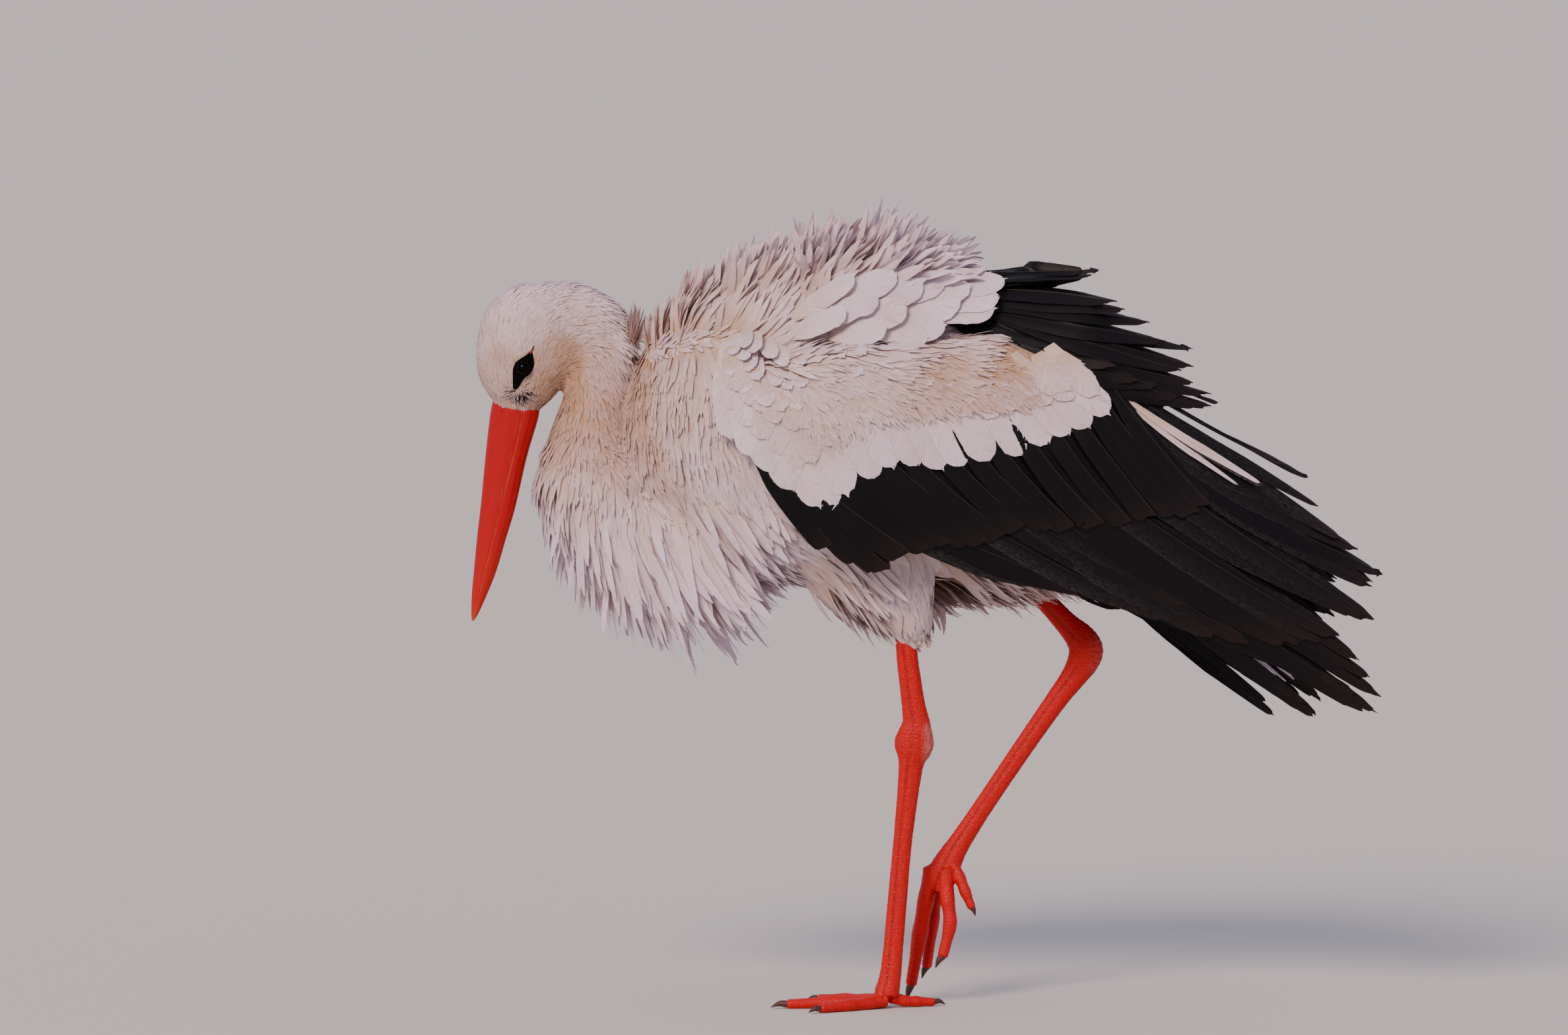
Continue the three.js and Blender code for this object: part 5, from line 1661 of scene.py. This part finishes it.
# ---------- Legs ----------
# The bare leg from within the thigh to the foot, as stations down its whole length.
SHANKS = {
    "left": [
        [17.5, -28.5, 336, 9.4, 8],
        [15.8, -28, 300, 8.8, 7],
        [19, -27, 270, 9.2, 6.8],
        [21.8, -26, 250, 9.9, 7],
        [23.6, -25, 238, 11.4, 8],
        [23.2, -24.5, 229, 14.2, 9.6],
        [22.2, -24, 221, 16.2, 10.4],
        [21.2, -24, 213, 14.8, 9.8],
        [19.8, -24, 204, 10.7, 8.2],
        [18.2, -23.6, 190, 9.4, 6.8],
        [15.5, -23, 165, 8.4, 6.2],
        [11.8, -22, 130, 7.7, 5.8],
        [8.3, -21.4, 90, 8.0, 5.8],
        [4.9, -20.6, 50, 8.2, 6.2],
        [2.4, -20.2, 26, 9.0, 7.6],
        [-0.5, -20, 12, 10.4, 10.5],
    ],
    "right": [
        [106, 33, 376, 9, 8],
        [119.5, 31.5, 346, 8.4, 7],
        [135, 30.5, 329, 8.6, 6.8],
        [149, 30, 314, 9.8, 7.2],
        [159.5, 29.6, 303, 12.6, 9.2],
        [164.5, 29.2, 293, 14.2, 10.2],
        [162, 29, 283, 13.2, 9.8],
        [154, 29, 270, 10.6, 8],
        [140, 29, 251, 9, 6.8],
        [113.5, 28.5, 213, 8.2, 6],
        [80.5, 28.4, 164, 8.0, 5.8],
        [61.5, 28, 135, 9.0, 6.6],
        [53.5, 28, 122, 10.6, 8.4],
        [47.5, 28, 110, 12.6, 11.6],
        [43.5, 28, 101, 12.4, 12],
        [41.5, 28, 93, 9.4, 10],
    ],
}
FEET = {"left": (0, -20, 12), "right": (46, 28, 112)}
TOES_OVER_FLOOR = 0.05
# Toes as offsets from the foot's joint, [x, outwards, z, radius], ending where the claw's tip is.
TOES = {
    "left": {
        "inner": [
            [-3, -4, -5, 6.2], [-18, -14, -6.8, 5.2], [-35, -25, -7.2, 4.9],
            [-56, -38, -8.2, 3.6], [-67, -45, -10.6, 0.9],
        ],
        "middle": [
            [-4, 0, -5, 6.6], [-22, 1, -6.6, 5.4], [-44, 2, -7.0, 5.2],
            [-82, 6, -8.2, 3.8], [-96, 7, -10.6, 0.9],
        ],
        "outer": [
            [-3, 4, -5, 6.2], [-17, 14, -6.8, 5.2], [-33, 27, -7.2, 4.9],
            [-55, 43, -8.2, 3.6], [-65, 51, -10.6, 0.9],
        ],
        "hind": [
            [4, -2, -3, 5.6], [14, -5, -6.6, 4.6], [24, -9, -7.4, 4.3],
            [38, -14, -8.4, 3.3], [48, -18, -10.6, 0.8],
        ],
    },
    "right": {
        "inner": [
            [2, -7, -2, 7.4], [4, -12, -26, 5.9], [6, -14, -46, 5.6],
            [0, -15, -72, 4.2], [-6, -16, -82, 1.0],
        ],
        "middle": [
            [-8, 0, -2, 8.0], [-14, 0, -28, 6.8], [-19, 0, -56, 6.4],
            [-26, 0, -97, 4.4], [-30, 0, -111.2, 1.0],
        ],
        "outer": [
            [-2, 7, -3, 7.4], [-6, 13, -26, 5.8], [-8, 16, -46, 5.4],
            [-13, 18, -84, 4.0], [-17, 18, -94, 1.0],
        ],
        "hind": [
            [8, -3, 2, 6.0], [14, -7, -8, 5.0], [19, -10, -20, 4.6],
            [24, -11.5, -32, 3.4], [27, -12, -39, 0.9],
        ],
    },
}


def cells(points, size):
    """Scales as cells round jittered lattice points: the gap between the two nearest, in shares of a cell."""
    grid = points / size
    base = np.floor(grid).astype(int)
    best = np.full((len(points), 2), 9.0)
    for step in np.ndindex(3, 3, 3):
        cell = base + np.array(step) - 1
        key = (cell[:, 0] * 73856093) ^ (cell[:, 1] * 19349663) ^ (cell[:, 2] * 83492791)
        jitter = np.stack([((key * k) % 9973) / 9973 for k in (7, 131, 613)], -1)
        gap = np.linalg.norm(cell + 0.2 + 0.6 * jitter - grid, axis=1)
        nearer = gap < best[:, 0]
        best[:, 1] = np.where(nearer, best[:, 0], np.minimum(best[:, 1], gap))
        best[:, 0] = np.where(nearer, gap, best[:, 0])
    return best[:, 1] - best[:, 0]


def leg_skin():
    """A stork's bare leg: living scaly skin, vivid red, damp and glossy on each scale, paler and
    chalky in the net between them. The scales' relief is in the mesh; the bump adds their grain."""
    finish = Finish("scaly leg skin", Roughness=0.36, IOR=1.45, Specular_IOR_Level=0.3)
    net, worn, dark, _ = finish.carried("scales")
    patchy = finish.noise(70.0, 4.0, 0.6)
    where = finish.stretched(finish.add("TexCoord").outputs["Object"], 1.0, 1.0, 0.62)
    scales = finish.add("TexVoronoi", {"feature": "DISTANCE_TO_EDGE"}, Vector=where, Scale=640.0).outputs[0]
    dome = finish.sums("POWER", finish.sums("MULTIPLY", scales, 3.2, clamp=True), 0.6)
    colour = finish.mix(patchy, linear("#c00004"), linear("#d80206"))
    # painted shade: a darker red in the grooves between the fine scales
    colour = finish.mix(finish.sums("MULTIPLY_ADD", dome, -0.4, 0.4), colour, linear("#6e0206"))
    patches = finish.sums("MULTIPLY_ADD", patchy, 1.6, -0.35, clamp=True)
    pale = finish.sums("MULTIPLY", net, patches, clamp=True)
    colour = finish.mix(finish.sums("MULTIPLY", pale, 0.22), colour, linear("#d8503e"))
    chalk = finish.sums("MULTIPLY", worn, finish.sums("MULTIPLY_ADD", patchy, 5.0, -1.7, clamp=True))
    colour = finish.mix(chalk, colour, linear("#c87f76"))
    # painted shade: dark red in the joint's folds and the tendon's groove
    colour = finish.mix(dark, colour, linear("#520608"))
    grain = finish.noise(1500.0, 3.0)
    rough = finish.sums("MULTIPLY_ADD", net, 0.3, finish.sums("MULTIPLY_ADD", grain, 0.2, 0.22), clamp=True)
    relief = finish.sums("MULTIPLY_ADD", grain, 0.12, dome)
    return finish.wire(Base_Color=colour, Roughness=rough, Normal=finish.bump(relief, 0.0004, 0.55))


def claw_horn():
    """Claws of worn horn, dark brown-red with a dull polish."""
    finish = Finish("claw horn, worn keratin", Roughness=0.38, IOR=1.54)
    grain = finish.noise(400.0, 4.0)
    colour = finish.mix(grain, linear("#2d1512"), linear("#5e2c26"))
    return finish.wire(Base_Color=colour, Normal=finish.bump(grain, 0.0004, 0.4))


def toe_stations(which, name):
    outwards, foot = -1 if which == "left" else 1, FEET[which]
    return [
        [foot[0] + x, foot[1] + outwards * out, foot[2] + z, radius, radius * 1.06]
        for x, out, z, radius in TOES[which][name]
    ]


def place_on_toes(points, toes):
    """Each point's gap from the nearest toe, in shares of its radius, and how far along it lies."""
    gap, run = np.full(len(points), 9.0), np.zeros(len(points))
    for stations in toes.values():
        toe = curve(stations[:-1], np.linspace(0.08, 1, 60))
        spot, near = beside_line(points, toe)
        nearer = near < gap
        gap, run = np.where(nearer, near, gap), np.where(nearer, lengths_along(toe[:, :3])[spot], run)
    return gap, run


def carve_scales(mesh, which, toes):
    """Raises a leg's scales, its toes' bands and its joint's folds, paints where they are worn, and paints
    shade into the folds and the tendon's groove.
    """
    shank = SHANKS[which]
    points, out = from_frame(gather(mesh.vertices, "co")), gather(mesh.vertices, "normal")
    line = curve(shank, np.linspace(0, 1, 240))
    spot, shank_gap = beside_line(points, line)
    run = lengths_along(line[:, :3])[spot]
    toe_gap, toe_run = place_on_toes(points, toes)
    on_toe = np.clip((shank_gap - toe_gap) * 3, 0, 1)
    # small scales on the shank, bands across the toes
    net = cells(points * (1.0, 1.0, 0.8), 2.6)
    relief = np.clip(net / 0.28, 0, 1) ** 0.7
    bands = np.abs(np.sin(np.pi * toe_run / 3.1)) ** 0.45
    relief = relief * (1 - 0.8 * on_toe) + bands * 0.8 * on_toe
    # folds round the joint, which is the shank's thickest place
    joint = np.array(max(shank[3:9], key=lambda station: station[3])[:3])
    at_joint = np.clip(1.25 - np.linalg.norm(points - joint, axis=1) / 19, 0, 1)
    folds = 0.5 + 0.5 * np.sin(run * 2.1 + 1.4 * np.sin(points[:, 0] * 0.35) + points[:, 1] * 0.3)
    relief = relief * (1 - 0.75 * at_joint) + folds * 0.9 * at_joint
    # a groove before the tendon that runs down the back
    back = np.cross(unit(np.gradient(line[:, :3], axis=0))[spot], [0, 1, 0])
    off = points - line[spot, :3]
    aside = np.sum(off * back, axis=1)
    tendon = bell(aside + 2.6, 1.5) * (1 - on_toe) * (1 - at_joint) * (np.abs(off[:, 1]) > 2)
    height = (0.42 + 0.5 * at_joint) * (relief - 0.6) - 0.75 * tendon
    points = points + out * height[:, None]
    points[:, 2] = np.maximum(points[:, 2], TOES_OVER_FLOOR)
    mesh.vertices.foreach_set("co", to_frame(points).astype(np.float32).ravel())
    mesh.update()
    if which == "left":
        behind = 0.75 * np.clip((points[:, 0] - joint[0] - 5) / 6, 0, 1)
    else:
        behind = 0.35 * np.clip(out[:, 0], 0, 1)
    heel = behind * np.clip(2.6 - np.abs(points[:, 2] - joint[2] + 2) / 8, 0, 1)
    # painted shade in the joint's folds and in the groove before the tendon
    painted_crease_shade = np.clip((0.25 - folds) * 3, 0, 1) * at_joint * 0.8 + np.clip(tendon, 0, 1) * 0.35
    paint(mesh, "scales", np.stack([1 - relief, heel, painted_crease_shade, relief], -1))


def make_claw(which, name, stations, horn):
    """A hooked claw on a toe's last stretch."""
    base, tip = np.array(stations[-2]), np.array(stations[-1])
    hook = (base + tip) / 2
    hook[2] += 1.6
    hook[3:] = base[3] * 0.62
    base[3:] = base[3] * 0.8
    tip[3:] = 0.35
    points, quads, tris = loft([base, hook, tip], 16, 18, 0.6)
    points[:, 2] = np.maximum(points[:, 2], TOES_OVER_FLOOR)
    claw = add_mesh(f"claw_horn_{which}_{name}", points, quads, tris, [horn])
    place(claw, "claw_horn", f"claw_{which}_{name}")


def make_leg(which, red, horn):
    toes = {name: toe_stations(which, name) for name in TOES[which]}
    forms = [loft(SHANKS[which], 30, 130, 0.5)]
    for stations in toes.values():
        body = curve(stations[:-1], np.linspace(0, 1, 12))
        body[:, 3:] *= 1 + 0.06 * np.cos(np.linspace(0, 3 * 2 * np.pi, 12))[:, None]
        forms.append(loft(body, 20, 40, 0.8))
    leg = one_skin("leg_" + which, forms, 0.95, 3)
    carve_scales(leg.data, which, toes)
    leg.data.materials.append(red)
    nodes = [f"{part}_{which}" for part in ("tibia", "tarsus", "foot")]
    place(leg, "leg_skin", *nodes, *(f"toe_{which}_{name}" for name in toes))
    for name, stations in toes.items():
        make_claw(which, name, stations, horn)


# ---------- Stage ----------
FLOOR_HALF = 6e4
KEY_LIGHT = {
    "strength": 3.3, "spread": math.radians(20), "colour": "#ffe3d4", "from": (-0.34, -0.82, 0.58),
}
FILL = {"strength": 0.72, "colour": "#dcdaf4"}
# The camera's aim, in metres, how far from it the camera stands, how wide its frame is there, and how
# far it looks down.
CAMERA = {
    "aim": (-0.0853, MIDPLANE / 1000, 0.4049), "distance": 18.0, "frame_width": 1.2944,
    "tilt": math.radians(4.5),
}


def make_stage():
    """A plain pale floor, a soft key from the camera's upper left, and an even fill."""
    corners = np.array([(-1, -1, 0), (1, -1, 0), (1, 1, 0), (-1, 1, 0)]) * FLOOR_HALF
    pale = Finish("pale floor", Base_Color=linear("#cfccc6"), Roughness=0.9).material
    add_mesh("floor", corners, [[0, 1, 2, 3]], [], [pale])
    world = bpy.data.worlds.new("studio")
    bpy.context.scene.world = world
    world.use_nodes = True
    sky = world.node_tree.nodes["Background"]
    sky.inputs["Color"].default_value = linear(FILL["colour"])
    sky.inputs["Strength"].default_value = FILL["strength"]
    key = bpy.data.lights.new("key", "SUN")
    key.energy = KEY_LIGHT["strength"]
    key.angle = KEY_LIGHT["spread"]
    key.color = linear(KEY_LIGHT["colour"])[:3]
    lamp = bpy.data.objects.new("key", key)
    lamp.rotation_euler = Vector(KEY_LIGHT["from"]).to_track_quat("Z", "Y").to_euler()
    bpy.context.scene.collection.objects.link(lamp)


def make_camera():
    """A long lens from the left side, a little above level."""
    camera = bpy.data.cameras.new("camera")
    camera.lens = camera.sensor_width * CAMERA["distance"] / CAMERA["frame_width"]
    camera.clip_end = 200
    away = Vector((0, -math.cos(CAMERA["tilt"]), math.sin(CAMERA["tilt"])))
    obj = bpy.data.objects.new("camera", camera)
    obj.location = Vector(CAMERA["aim"]) + away * CAMERA["distance"]
    obj.rotation_euler = away.to_track_quat("Z", "Y").to_euler()
    bpy.context.scene.collection.objects.link(obj)
    bpy.context.scene.camera = obj


# ---------- The stork ----------
white = white_plumage()
black = black_plumage()
skin = make_skin()
cover_body(skin, white)
long_plumes(skin, white)
for side in (-1, 1):
    make_wing(side, skin, white, black)
make_tail(white)
make_bill()
make_eyes(skin)
bill_collar()
lore_bristles(skin, white, black)
bill_fringe(skin, white)
eye_corner(skin, black)
red, horn = leg_skin(), claw_horn()
for which in ("left", "right"):
    make_leg(which, red, horn)
make_stage()
make_camera()
